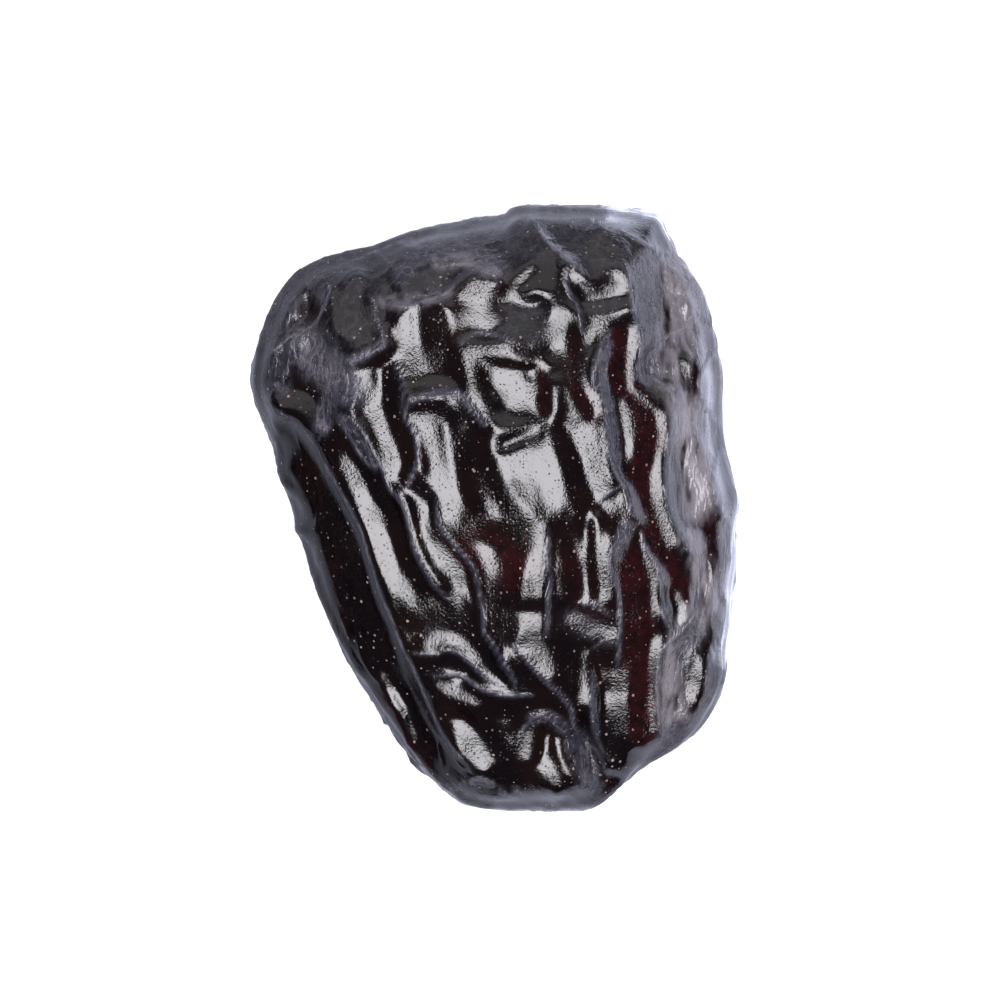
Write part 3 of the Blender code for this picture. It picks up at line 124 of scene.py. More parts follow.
# Each panel of skin between folds: its width, how steeply it faces right and towards the broad end, and the
# line that it follows.
PANELS = (
    (0.3, (0.9, 0), ((-5, 0.8), (-4.5, 0.1), (-4.3, -0.8), (-4, -1.8), (-3.5, -2.7))),
    (0.3, (0.8, 0), ((-3.2, 0.2), (-2.9, -0.8), (-2.4, -1.6), (-1.9, -2.4))),
    (0.5, (-0.15, 0.1), ((-2, 9.7), (-1.8, 9))),
    (1.2, (0.42, -0.1), ((9.5, 2.8), (9.8, 1.4), (9.9, 0))),
    (0.7, (0, -0.1), ((8.5, 8.2), (9.2, 8.5), (9.8, 8.9))),
    (1.1, (0.2, 0), ((7.8, 7.2), (8.6, 7.2), (9.3, 6.9))),
    (0.9, (0.2, 0), ((8.3, 11.8), (8.7, 11))),
    (2, (-0.9, -0.45), ((-10.3, 3.3), (-9.3, 2), (-8.4, 0), (-7.8, -2), (-7.2, -4), (-6.5, -6),
         (-5.8, -7.4))),
    (0.7, (-0.85, -0.5), ((-5.1, -8), (-4.1, -10.2), (-3.1, -12))),
    (0.3, (-2.3, -1.2), ((-10.3, 4.3), (-9.45, 3.55), (-8.95, 2.65), (-8.05, 0.9), (-7.05, -0.9),
         (-6.55, -2.5), (-6.05, -4), (-5.55, -5.2), (-4.95, -6.8), (-4.35, -8), (-3.65, -9.6),
         (-3.05, -10.9), (-2.35, -12))),
    (0.35, (-2, -0.8), ((-7.8, 4.5), (-7, 3.7), (-6.5, 2.8), (-6, 1.8))),
    (0.3, (-2.2, -0.8), ((-5.5, 1), (-4.95, 0.2), (-4.7, -0.6), (-4.4, -1.8), (-4, -2.7), (-3.4, -3.6),
         (-2.7, -4.4))),
    (0.6, (-0.8, -0.4), ((-6.2, 2), (-5.75, 1), (-5.35, 0), (-5, -1), (-4.7, -2), (-4.3, -3),
         (-3.9, -3.8))),
    (0.3, (-2.2, -0.6), ((-3.2, 0.3), (-3.05, -0.7), (-2.05, -2), (-1.35, -2.9), (-1.15, -3.8),
         (-0.95, -5), (-0.85, -6), (-0.4, -6.85), (0.05, -7.5))),
    (0.9, (-0.65, -0.4), ((-2.1, -4.3), (-1.7, -5.4), (-1.4, -6.5))),
    (0.6, (-0.45, -0.35), ((-2.6, 0.2), (-2.2, -1), (-1.4, -2), (-0.7, -3.2), (-0.35, -5), (0, -6.4))),
    (0.3, (-2.2, -0.4), ((-4.85, 6.9), (-4.8, 5.4), (-4.7, 4.6), (-4.2, 3.5), (-4.2, 2.3), (-4.65, 1.2))),
    (0.7, (-0.75, -0.3), ((-5.6, 6.8), (-5.45, 5.4), (-5, 4), (-4.7, 2.6))),
    (0.3, (0.8, 0.2), ((-4.45, 4.4), (-3.95, 3.3), (-3.85, 2.3))),
    (0.8, (-0.2, -0.6), ((-4.3, 1.3), (-3.4, 1))),
    (0.5, (-0.2, -0.6), ((-2.9, -0.9), (-2.4, -1.7), (-1.9, -2.6), (-1.7, -3.8))),
    (1.5, (-0.4, -0.4), ((-4.4, -5.4), (-3.3, -5.3), (-2.1, -5.5))),
    (0.5, (0.2, -0.7), ((-4, -7.6), (-2.8, -7.5), (-1.8, -8))),
    (0.65, (0.75, 0), ((3.65, 8.6), (3.6, 7.5), (3.7, 6.2), (4, 5.5), (4.5, 4.9))),
    (0.55, (0.75, 0), ((6.15, 9.2), (5.9, 8), (5.85, 6.8), (6.2, 5.9), (6.9, 5.1), (7.4, 4.3), (7.5, 3.5),
         (7.1, 2.6))),
    (0.5, (0.75, 0), ((6.5, 1.9), (7, 0.9), (7.3, 0), (7.55, -1), (7.9, -2), (8.5, -3))),
    (1, (0.65, 0), ((6.5, -2), (6.6, -3.2), (6.8, -5), (6.85, -8), (6.9, -10), (7, -11.3))),
    (1, (-0.6, -0.2), ((-2.2, 4.2), (-1.95, 2.9), (-1.6, 1.4), (-1.1, 0.1))),
    (1, (-0.7, -0.25), ((-1.05, 3.2), (-0.75, 2.4), (-0.2, 1.2), (0.4, 0.2))),
    (0.8, (0.65, -0.1), ((3.4, -1.6), (3.6, -3), (3.7, -4.2))),
    (0.8, (0.75, 0.3), ((2.7, 4), (3.3, 3), (3.7, 2), (4, 1), (4.2, -0.1))),
    (0.6, (0.6, 0), ((3.4, -6.6), (3.5, -8.6))),
    (0.5, (0.6, -0.2), ((8.5, -2.7), (8.9, -3.6))),
    (0.5, (0.6, 0.2), ((8.4, 10.1), (8.7, 9.5))),
    (0.7, (0.5, 0.1), ((10.4, -0.5), (10.7, -1.4))),
    (1.7, (-0.5, -0.2), ((-3.2, 9.3), (-3.1, 8.2), (-2.9, 7))),
    (0.9, (-0.65, -0.3), ((-2.3, 7.5), (-2.2, 6.4), (-1.85, 5.5), (-1.3, 4.6), (-0.7, 3.9))),
    (0.5, (-0.75, -0.2), ((4.5, -0.4), (4.6, -2.2), (4.75, -4.2))),
    (0.8, (-0.75, -0.2), ((2.2, 6.8), (2.1, 5.8), (2.2, 4.7))),
    (1.6, (-0.6, -0.25), ((0.5, -1.8), (0.4, -3.4), (0.3, -5.8))),
    (0.6, (-0.5, -0.2), ((5.1, -7), (5.2, -8.3))),
    (0.5, (-0.6, 0.1), ((2.6, -11.2), (2.6, -12.2))),
    (0.4, (0, -1), ((-0.8, 7.6), (-0.2, 7.35), (0.6, 7.15), (1.6, 7.1), (2.6, 7.1))),
    (0.28, (0.5, -0.3), ((-0.7, 7), (-0.3, 6.1), (0.2, 5.1))),
    (0.6, (0.1, -0.9), ((-0.3, 10.9), (0.2, 10.4), (0.9, 10.3), (1.7, 10.5))),
    (0.6, (0.3, -0.9), ((-7.2, 7.1), (-6.4, 7.4), (-5.6, 7.6))),
    (0.8, (0.1, -0.8), ((-4.1, 5.2), (-2.9, 5.1), (-2.2, 4.8), (-1.7, 4.4))),
    (0.35, (0, -1), ((1.1, -4.75), (1.8, -4.75), (2.3, -4.9))),
    (0.4, (-0.2, -1), ((4, -4.9), (4.8, -5.1), (5.6, -5.6))),
    (0.5, (0.3, -0.8), ((0.2, 3.5), (0.9, 3.8), (1.7, 4))),
    (1.5, (-0.2, -0.6), ((-0.9, -1.1), (0.9, -1.1))),
    (0.6, (-0.5, -0.4), ((0.3, 0.6), (0.9, -0.1), (1.6, -0.6))),
    (0.8, (0.2, -0.8), ((-1, -9.9), (0.6, -9.7), (2.2, -9.5), (3, -10))),
    (0.8, (-0.3, -0.6), ((-0.4, -10.8), (0.1, -12.2))),
    (0.45, (1.7, 0.2), ((5.5, 8.7), (5.15, 7.8), (5, 6.5), (5.3, 5.3), (5.5, 4), (5.6, 2.6), (5.9, 1.5))),
    (0.3, (1.7, 0.2), ((8.8, 6), (8.6, 4), (8.45, 2), (8.4, 0.8), (8.75, -0.4), (9.3, -1.5), (9.85, -2.6),
         (10, -4), (9.75, -5.4), (9.1, -6.3), (8.25, -7.2), (8.05, -8.5), (8.1, -10))),
    (0.3, (1.8, 0.2), ((6.4, 0.9), (6.65, 0.2), (7.05, -0.6))),
    (0.3, (1.4, 0.3), ((6.6, -1), (6, -1.5), (5.6, -2.5), (5.9, -3.6))),
    (0.3, (1.4, 0.1), ((2.45, -1.6), (2.45, -3.5), (2.45, -5.8))),
    (0.35, (1.4, 0.3), ((11.1, -0.9), (11.1, -2.5), (11, -4), (11.2, -5))),
    (0.35, (1.4, 0.3), ((10.45, 5), (10.7, 3.2), (10.75, 1.6))),
    (0.8, (1.4, 0.4), ((4, -11.8), (4.4, -13.4))),
    (0.5, (0.6, 0.3), ((3.2, -11.6), (3.5, -13))),
    (1.5, (0.1, 0.6), ((0.6, 9.7), (1.3, 8.8))),
    (1.4, (-0.1, 0.7), ((-7.6, 9.2), (-6.8, 9.4))),
    (1.4, (0.2, 0.75), ((2.9, 13.7), (4.4, 13), (5.4, 12.6))),
    (0.7, (0.2, 0.7), ((4.8, 10.1), (5.5, 10))),
    (0.7, (0.3, 0.7), ((2.2, 11.2), (2.2, 12.6))),
    (0.8, (0, 0.7), ((-3.6, 6.3), (-2.6, 6.3))),
    (0.9, (0, 0.75), ((-4.4, 11.2), (-3.2, 11.4))),
    (1.2, (-0.3, 0.7), ((-10.7, 5.6), (-9.6, 5.3), (-9.3, 4.7))),
    (0.3, (-0.3, 1.7), ((-5.7, 10.5), (-4.8, 10.35), (-3.5, 10.7), (-2.8, 11), (-2.2, 11.5))),
    (0.35, (0.1, 1.8), ((-3.3, 12.3), (-2.4, 12.5), (-1.2, 12.4), (-0.3, 11.9))),
    (0.3, (1.6, 0.8), ((-0.1, 11.7), (0.25, 11.2))),
    (0.35, (1.2, 1.3), ((1.8, 14.3), (2.3, 13.6), (3.1, 12.8), (3.8, 12.3), (4.6, 11.6))),
    (0.45, (1.3, 1.3), ((5.4, 14.1), (6.4, 13.8), (7.6, 13.1), (9.1, 12.3))),
    (0.9, (1.5, 0.3), ((7.4, 12), (7.5, 10.4), (7.6, 8.8))),
    (0.3, (1.5, 0), ((-6.15, 10.6), (-5.9, 9.5), (-5.6, 8.4))),
    (1.6, (-1.4, 0.8), ((-9, 7.5), (-8.2, 6.4), (-7.9, 5.8))),
    (0.9, (-0.8, 0.1), ((-10.4, 7.9), (-10, 6.9))),
    (0.5, (-1.3, 0.9), ((-11.3, 10), (-11.2, 9))),
    (0.5, (-0.6, 1.5), ((-10, 9), (-11, 8.4))),
    (0.8, (0.4, 0.3), ((-9.9, 10.4), (-9.9, 9.8))),
    (0.85, (0, 0), ((-6.35, 5.2), (-5.8, 3.7), (-5.3, 2.3))),
    (0.85, (0, -0.35), ((-6.75, 6.5), (-6.5, 5.7))),
    (0.3, (0, 0), ((-4, 0.2), (-3.85, -0.9), (-3.45, -1.9), (-2.9, -2.8), (-2.35, -3.4), (-2.25, -4.7))),
    (0.22, (0, 0), ((-3.5, -0.5), (-3.1, -1.5), (-2.6, -2.2), (-2.1, -3))),
    (0.4, (0, 0), ((-3.6, -6.6), (-2.9, -6.35), (-2.1, -6.45), (-1.4, -7.2), (-0.7, -8), (0, -8.4))),
    (0.6, (0, 0), ((-2.9, -8.8), (-2.1, -9.1), (-1.2, -9.5))),
    (0.8, (0, 0), ((-1.9, -10.7), (-1.3, -11.6), (-0.85, -12.6))),
    (0.5, (0, 0), ((1.5, -10.9), (1.3, -12.3))),
    (1.6, (0, -0.15), ((-1.2, 10.7), (-1, 9.9), (-0.7, 9.5))),
    (0.45, (0, -0.45), ((3.6, 12), (3.85, 11.4), (4.5, 11.1), (5.1, 11.3), (5.7, 11.95), (6, 11.4))),
    (0.5, (0, -0.4), ((4.1, 10.6), (5, 10.75), (5.9, 10.85))),
    (0.22, (0, 0), ((3.15, 8.5), (3.15, 6.4), (3.4, 5.4), (4, 4.75))),
    (0.3, (0, 0), ((4.3, 8.4), (4.2, 7.1), (4.4, 6.1), (4.9, 5.1))),
    (0.3, (0, 0), ((0.4, 7.95), (-0.3, 8.15), (-1.2, 8.05), (-1.6, 7.4), (-1.45, 6.6), (-1, 5.7),
         (-0.4, 4.9))),
    (0.9, (0, 0), ((-0.1, 6.2), (0.6, 5.4), (1.2, 4.8))),
    (1.2, (-0.1, -0.25), ((0.6, 2.2), (1.4, 2.7))),
    (1, (0, 0), ((1.9, 3), (2.2, 2), (2.6, 1), (2.6, 0.4))),
    (0.6, (0, 0), ((1, 1.5), (1.6, 0.4))),
    (1, (0, 0), ((4.2, 3.7), (4.6, 2.8), (4.8, 1.8))),
    (0.6, (0, 0), ((5.2, 0.15), (6, 0.35), (6.4, -0.2))),
    (0.4, (0, 0), ((6.4, 6.1), (7.2, 5.4), (7.95, 4.6), (8.1, 3.6), (7.9, 2.7), (7.6, 1.7), (7.8, 0.5),
         (8.25, -0.6), (8.6, -1.6))),
    (0.5, (0, 0), ((6.1, 5.2), (6.3, 4.2), (6.4, 3.3), (6.3, 2.5))),
    (0.45, (0, 0), ((2.6, -0.1), (2, -0.7), (1.9, -2), (1.8, -4.3))),
    (0.4, (0, 0), ((2.5, -0.15), (3.2, -0.5), (3.7, -1.4), (4.1, -2.3))),
    (0.4, (0, 0), ((2.8, -2.4), (2.75, -4), (2.8, -6))),
    (0.8, (-0.1, 0.15), ((1.6, -5.3), (1.8, -6.5), (2.6, -7.9))),
    (0.7, (0, 0), ((5.1, -1.4), (5.15, -3.2), (5.3, -4.2))),
    (0.9, (-0.25, -0.05), ((3.6, -5.4), (4.6, -6), (5.3, -6.2))),
    (0.25, (0, 0), ((6.15, -3.4), (6.1, -6), (6.1, -9.3))),
    (0.32, (0, 0), ((6.95, -1.5), (7.4, -2.5), (7.75, -3.4), (7.65, -5), (7.7, -6.5))),
    (0.4, (-0.1, 0.5), ((7.7, -6.5), (7.65, -9), (7.7, -11))),
    (0.7, (0, 0), ((8.7, -4.2), (9.1, -4.8), (9, -5.5))),
    (0.9, (0, 0), ((9.4, -7.2), (9.7, -8.4), (9.6, -9.3))),
    (0.5, (0, 0), ((4.25, -7.1), (4.2, -9.6))),
    (0.35, (0, 0), ((-7.2, 11.5), (-7.35, 10.6), (-7.4, 9.8))),
    (0.45, (0, 0), ((-0.8, -1.9), (-0.35, -3))),
    (0.4, (0, 0), ((-4.3, -4.1), (-4.3, -4.8))),
    (0.5, (0, 0), ((10.5, -2.4), (10.4, -3.6), (10.2, -4.6))),
    (0.85, (0, 0), ((-7.65, 2.4), (-7, 1.1), (-6.4, 0), (-5.9, -1.4), (-5.5, -2.6), (-5.25, -3.6))),
    (0.95, (0.1, -0.3), ((-4.95, 9.1), (-4.7, 8.2), (-4.3, 6.8))),
    (0.9, (-0.1, -0.1), ((0.2, 6.7), (0.9, 6.2), (1.3, 5.6))),
    (0.55, (0, 0), ((-5.9, -8.1), (-5.3, -9.2))),
    (0.6, (0.1, 0.6), ((-5.3, -9.2), (-4.8, -10.2), (-4.2, -11.6))),
    (0.95, (0, -0.15), ((-3.85, 4.3), (-3.35, 3.3), (-3.1, 2.2), (-2.75, 1), (-2.45, -0.4))),
    (0.75, (0, -0.5), ((3.45, 12), (3.2, 10.7), (3, 9.7))),
    (0.8, (-0.05, -0.9), ((3, 9.7), (2.9, 9), (2.6, 7.8))),
    (0.45, (-0.6, -0.8), ((4.6, 8.4), (5, 9), (5.6, 9.55), (6.3, 9.75))),
    (0.45, (-0.2, -0.3), ((6.3, 9.75), (6.75, 9))),
    (0.4, (0, 0), ((6.75, 9), (6.6, 7.8), (6.4, 6.7))),
    (0.4, (-0.2, -0.4), ((0.3, 10.7), (0.9, 11.3), (1.6, 12.1))),
    (0.9, (0, 0.4), ((5.5, -8.2), (5.6, -9.4))),
    (0.9, (-0.1, 0.9), ((5.6, -9.4), (5.7, -10.6), (5.9, -12.4))),
    (0.8, (0, 0.15), ((2.3, -12.6), (2.8, -13.6))),
    (0.7, (-0.7, -0.3), ((2, 6.9), (2.35, 6.1), (2.35, 5))),
    (0.7, (0.65, 0.1), ((0.8, 8.2), (1.5, 8), (2.2, 7.75))),
    (0.45, (0.1, -0.1), ((9.3, 2.6), (9.9, 1.4), (10.3, 0.2))),
)

# How the upper folds are raised, in mm
GRID = 0.1  # cell of the plan on which the upper skin is worked out
GRID_EDGE = 1.0  # the grid goes this far past the outline
CREST_RADIUS = 0.1
FOLD_BLEND = 3.0  # how sharply neighbouring folds give way to each other
FOLD_END = 1.5  # length over which a fold rises at its ends
FOLD_END_SHARE = 0.25  # share of its height that it starts with
FOLD_REACH = 5.0  # a fold acts this many widths away
PANEL_EDGE_IN, PANEL_EDGE_OUT = 0.1, 0.2  # a panel fades over this much of its edge
UNPAINTED = 0.15  # how firmly the skin keeps the slope of the folds where no panel lies
PANEL_HOLD, STEEP_HOLD = 4.0, 1.5  # and how firmly that of a panel, steep ones giving way first
STEEP_SLOPE = 1.1
# How firmly the skin keeps its height: inside the outline, near it and outside it
KEEP_HEIGHT, KEEP_HEIGHT_RIM, KEEP_HEIGHT_OUTSIDE = 0.0015, 0.5, 5.0
HOLD_RIM = (0.93, 0.99)  # share of the radius over which the skin comes to rest on the body
RIM = (0.94, 1.0)  # share of the radius over which the upper folds give way to the side ones
SOLVER_STEPS = 900
SOLVER_DONE = 1e-8  # the solver stops at this share of its first error
SOFTENED = 4  # times that the upper skin is averaged with its neighbours on the plan grid

# Folds of the sides and the underside, in mm and degrees round the long axis, 0 straight down
SEED = 11
LONG_FOLDS = 19
LONG_FOLD_FROM, LONG_FOLD_TO = -118.0, 118.0
LONG_FOLD_SHIFT = 0.09  # radians that a fold may lie off its even place
LONG_FOLD_HEIGHT = (0.8, 1.5)
LONG_FOLD_WIDTH = (0.6, 1.0)
LONG_FOLD_SWAY = (2.0, 6.0)
SWAY_LENGTH, SMALL_SWAY_LENGTH, SWELL_LENGTH = 6.0, 2.3, 4.0
LONG_FOLD_STARTS, LONG_FOLD_STOPS = (-18, -9), (8, 18)  # y of its two ends
LONG_FOLD_FADE_OUT, LONG_FOLD_FADE_IN = 1, 3  # it rises from this far beyond its end to this far inside it
LONG_FOLD_SWELL = 0.25  # share of its height that comes and goes along it
CROSS_FOLDS = 16
CROSS_FOLD_WITHIN = 12  # y of the middles of the short folds, either way
CROSS_FOLD_LENGTH = (3.0, 6.0)
CROSS_FOLD_HEIGHT, CROSS_FOLD_WIDTH = (0.54, 0.9), 0.7
CROSS_FOLD_TURN = (0.1, 1.5)  # radians from the way of the long folds
SIDE_SINK = 0.4  # the skin lies this much lower, so that the folds keep the body's size
# On the widest line, which the plan outline already shapes, this share is left of the crests and of the
# hollows. All of them is back this far above and below it.
CALM_CREST, CREST_BACK = 0.0, 4.0
CALM_HOLLOW, HOLLOW_BACK = 0.1, 2.5
ENDS_CALM = (0.3, 4.5)  # distance from the long axis over which the folds rise
AXIS_X, AXIS_LEAN = 0.7, -0.15  # where the long axis crosses the plan, and its lean from end to end
REST_DEPTH = 0.55  # pressed flat by its own weight where it rests

# Fine wrinkles and creases: height in mm, and how fast they change across and along the fruit, per mm
SLOW_WRINKLE, SLOW_RATE = 0.03, (0.9, 0.45)
QUICK_WRINKLE, QUICK_RATE = 0.01, (2.3, 1.2)
CREASE_HEIGHT, CREASE_RATE = 0.05, (0.8, 0.3)
CREASE_LINE, CREASE_SHARPNESS = 0.25, 1.5  # how wide a crease is, in the noise's own values, and how sharp
CREASE_SHIFT = 7  # keeps the creases apart from the slow wrinkles
WRINKLED_FROM = (0.0, 0.5)  # height over which the wrinkles come in above the flat spot
LOOSE_RIM = (0.78, 0.95)  # share of the radius over which the skin grows loose
LOOSER_BELOW = 1.6  # how much looser the sides and the underside are

# Marks that the skin's points carry for its finish
CREST_LINE = 0.09  # half the width of the dull line along a crest, where a lavender sheen is painted into the colour
SIDE_CREST = (0.45, 0.8)  # height from which a fold of the side or the underside is dulled, and painted with a lavender sheen, along its crest
SIDE_BLOOM_AND_SHEEN = 0.22  # waxy bloom, with a painted lavender sheen, on the sides and the underside
LINE_CORE = 0.25  # share of a soft strip's width that has its full strength


def smoothstep(low, high, value):
    t = np.clip((value - low) / (high - low), 0, 1)
    return t * t * (3 - 2 * t)


def spline(points, closed=False, per_span=4):
    """A smooth line through the points."""
    p = np.array(points, float)
    if closed:
        p = np.vstack([p[-1:], p, p[:2]])
    else:
        p = np.vstack([2 * p[0] - p[1], p, 2 * p[-1] - p[-2]])
    t = np.linspace(0, 1, per_span, endpoint=False)[:, None]
    spans = [
        0.5 * (2 * b + (c - a) * t + (2 * a - 5 * b + 4 * c - d) * t**2 + (3 * b - a - 3 * c + d) * t**3)
        for a, b, c, d in zip(p, p[1:], p[2:], p[3:])
    ]
    return np.vstack(spans if closed else spans + [p[-2:-1]])


def rim_radius(angle):
    """Distance from the middle to the plan outline."""
    ring = spline(OUTLINE, closed=True)
    ring_angle = np.arctan2(ring[:, 1], ring[:, 0])
    order = np.argsort(ring_angle)
    return np.interp(angle, ring_angle[order], np.hypot(ring[order, 0], ring[order, 1]), period=2 * np.pi)


def soft_radius(angle, harmonics=4):
    """The same distance for a plan without corners, which shapes the middle of the body."""
    turn = np.linspace(-np.pi, np.pi, 720, endpoint=False)
    rim = rim_radius(turn)
    total = np.full(np.shape(angle), rim.mean())
    for n in range(1, harmonics + 1):
        total = total + 2 * (rim * np.cos(n * turn)).mean() * np.cos(n * angle)
        total = total + 2 * (rim * np.sin(n * turn)).mean() * np.sin(n * angle)
    return total


def reach(x, y):
    """0 in the middle of the plan and 1 on its outline."""
    angle = np.arctan2(y, x)
    radius = np.hypot(x, y)
    rim = rim_radius(angle)
    share = smoothstep(OUTLINE_TAKES_OVER, 1.0, radius / rim)
    return radius / (soft_radius(angle) * (1 - share) + rim * share)


def body_height(x, y, upper):
    """Height of the body without folds."""
    full, narrow = UPPER_THICKNESS if upper else LOWER_THICKNESS
    thickness = narrow + (full - narrow) * smoothstep(NARROW_END_Y, BROAD_FROM_Y, y)
    rise = thickness * (1 - np.clip(reach(x, y), 0, 1) ** ROUNDNESS) ** (1 / ROUNDNESS)
    return MID_HEIGHT + (rise if upper else -rise)


def nearest(x, y, line):
    """Distance to a line, which side of it a point is on, and how far along it."""
    distance = np.full(x.shape, np.inf)
    side = np.zeros(x.shape)
    along = np.zeros(x.shape)
    start = 0.0
    for a, b in zip(line, line[1:]):
        length = math.dist(a, b)
        ux, uy = (b - a) / length
        t = np.clip((x - a[0]) * ux + (y - a[1]) * uy, 0, length)
        dx, dy = x - a[0] - t * ux, y - a[1] - t * uy
        here = np.hypot(dx, dy)
        closer = here < distance
        distance = np.where(closer, here, distance)
        side = np.where(closer, ux * dy - uy * dx, side)
        along = np.where(closer, start + t, along)
        start += length
    return distance, side, along, start


def fold_profile(distance, width):
    """A sharp crest that falls away to both sides."""
    return np.exp((CREST_RADIUS - np.hypot(distance, CREST_RADIUS)) / width)


def fold_ends(along, length):
    return np.clip(np.minimum(along, length - along) / FOLD_END + FOLD_END_SHARE, 0, 1)


def near_line(x, y, line, distance):
    low, high = line.min(axis=0) - distance, line.max(axis=0) + distance
    return (x > low[0]) & (x < high[0]) & (y > low[1]) & (y < high[1])


def upper_folds(x, y):
    total = np.zeros(x.shape)
    for height, left, right, points in FOLDS:
        line = spline(points)
        spot = near_line(x, y, line, FOLD_REACH * max(left, right))
        distance, side, along, length = nearest(x[spot], y[spot], line)
        rise = height * fold_ends(along, length) * fold_profile(distance, np.where(side > 0, left, right))
        total[spot] += rise**FOLD_BLEND
    return total ** (1 / FOLD_BLEND)


def crest_lines(x, y):
    """1 on the crest of a fold of the upper skin, 0 away from it."""
    total = np.zeros(x.shape)
    for _, _, _, points in FOLDS:
        line = spline(points)
        spot = near_line(x, y, line, 3 * CREST_LINE)
        distance, _, along, length = nearest(x[spot], y[spot], line)
        share = fold_ends(along, length) * np.exp(-((distance / CREST_LINE) ** 2))
        total[spot] = np.maximum(total[spot], share)
    return total


def drawn_lines(x, y, lines):
    """Soft strips along these lines."""
    total = np.zeros(x.shape)
    for width, strength, points in lines:
        line = spline(points)
        spot = near_line(x, y, line, width)
        distance = nearest(x[spot], y[spot], line)[0]
        share = smoothstep(width, LINE_CORE * width, distance)
        total[spot] = np.maximum(total[spot], strength * share)
    return total


def paint_panels(x, y, slope, axis):
    """The slope that the skin should have, and how firmly it is held to it.

    Later panels cover earlier ones.
    """
    hold = np.full(x.shape, UNPAINTED)
    for width, faces, points in PANELS:
        line = spline(points)
        spot = near_line(x, y, line, width / 2 + PANEL_EDGE_OUT)
        distance = nearest(x[spot], y[spot], line)[0]
        firmness = PANEL_HOLD if math.hypot(*faces) < STEEP_SLOPE else STEEP_HOLD
        cover = smoothstep(width / 2 + PANEL_EDGE_OUT, width / 2 - PANEL_EDGE_IN, distance)
        slope[spot] += cover * (-faces[axis] - slope[spot])
        hold[spot] += cover * (firmness - hold[spot])
    return slope, hold


def soften(values):
    for _ in range(SOFTENED):
        for axis in (0, 1):
            values = 0.5 * values + 0.25 * (np.roll(values, 1, axis) + np.roll(values, -1, axis))
    return values


def divergence(flow_x, flow_y, shape):
    out = np.zeros(shape)
    out[:, 1:] += flow_x
    out[:, :-1] -= flow_x
    out[1:] += flow_y
    out[:-1] -= flow_y
    return out


def upper_skin():
    """The upper skin over the plan: pulled over the folds, then eased until each panel faces its way."""
    reach_x = max(abs(p[0]) for p in OUTLINE) + GRID_EDGE
    reach_y = max(abs(p[1]) for p in OUTLINE) + GRID_EDGE
    xs = np.arange(-reach_x, reach_x, GRID)
    ys = np.arange(-reach_y, reach_y, GRID)
    x, y = np.meshgrid(xs, ys)
    body = body_height(x, y, True)
    folded = body + upper_folds(x, y)
    slope_x, hold_x = paint_panels(x[:, 1:] - GRID / 2, y[:, 1:], np.diff(folded, axis=1) / GRID, 0)
    slope_y, hold_y = paint_panels(x[1:], y[1:] - GRID / 2, np.diff(folded, axis=0) / GRID, 1)
    share = reach(x, y)
    keep = np.where(share < 1, KEEP_HEIGHT, KEEP_HEIGHT_OUTSIDE)
    keep = keep + KEEP_HEIGHT_RIM * smoothstep(*HOLD_RIM, share)

    def pull(height):
        flow_x = hold_x * np.diff(height, axis=1)
        flow_y = hold_y * np.diff(height, axis=0)
        return keep * height + divergence(flow_x, flow_y, x.shape)

    # Conjugate gradients, from the folded skin on
    stiffness = keep + divergence(hold_x, hold_y, x.shape)
    stiffness[:, :-1] += 2 * hold_x
    stiffness[:-1] += 2 * hold_y
    height = folded.copy()
    wanted = divergence(hold_x * slope_x * GRID, hold_y * slope_y * GRID, x.shape)
    error = keep * folded + wanted - pull(height)
    step = error / stiffness
    way = step
    size = first = (error * step).sum()
    for _ in range(SOLVER_STEPS):
        pulled = pull(way)
        amount = size / (way * pulled).sum()
        height += amount * way
        error -= amount * pulled
        step = error / stiffness
        size, before = (error * step).sum(), size
        if size < SOLVER_DONE * first:
            break
        way = step + size / before * way
    return xs, ys, soften(height - body)


def blend_weights(t):
    """The shares of four grid points in a row at a place between the middle two, which leave no corners."""
    return (1 - t) ** 3 / 6, (3 * t**3 - 6 * t**2 + 4) / 6, (3 * t**2 - 3 * t**3 + 3 * t + 1) / 6, t**3 / 6


def sample(xs, ys, values, x, y):
    """The value of a grid at any place, between its points."""
    i = np.clip((x - xs[0]) / GRID, 1, len(xs) - 3)
    j = np.clip((y - ys[0]) / GRID, 1, len(ys) - 3)
    i0, j0 = i.astype(int), j.astype(int)
    total = np.zeros(x.shape)
    for row, share_y in enumerate(blend_weights(j - j0), -1):
        for column, share_x in enumerate(blend_weights(i - i0), -1):
            total += share_x * share_y * values[j0 + row, i0 + column]
    return total


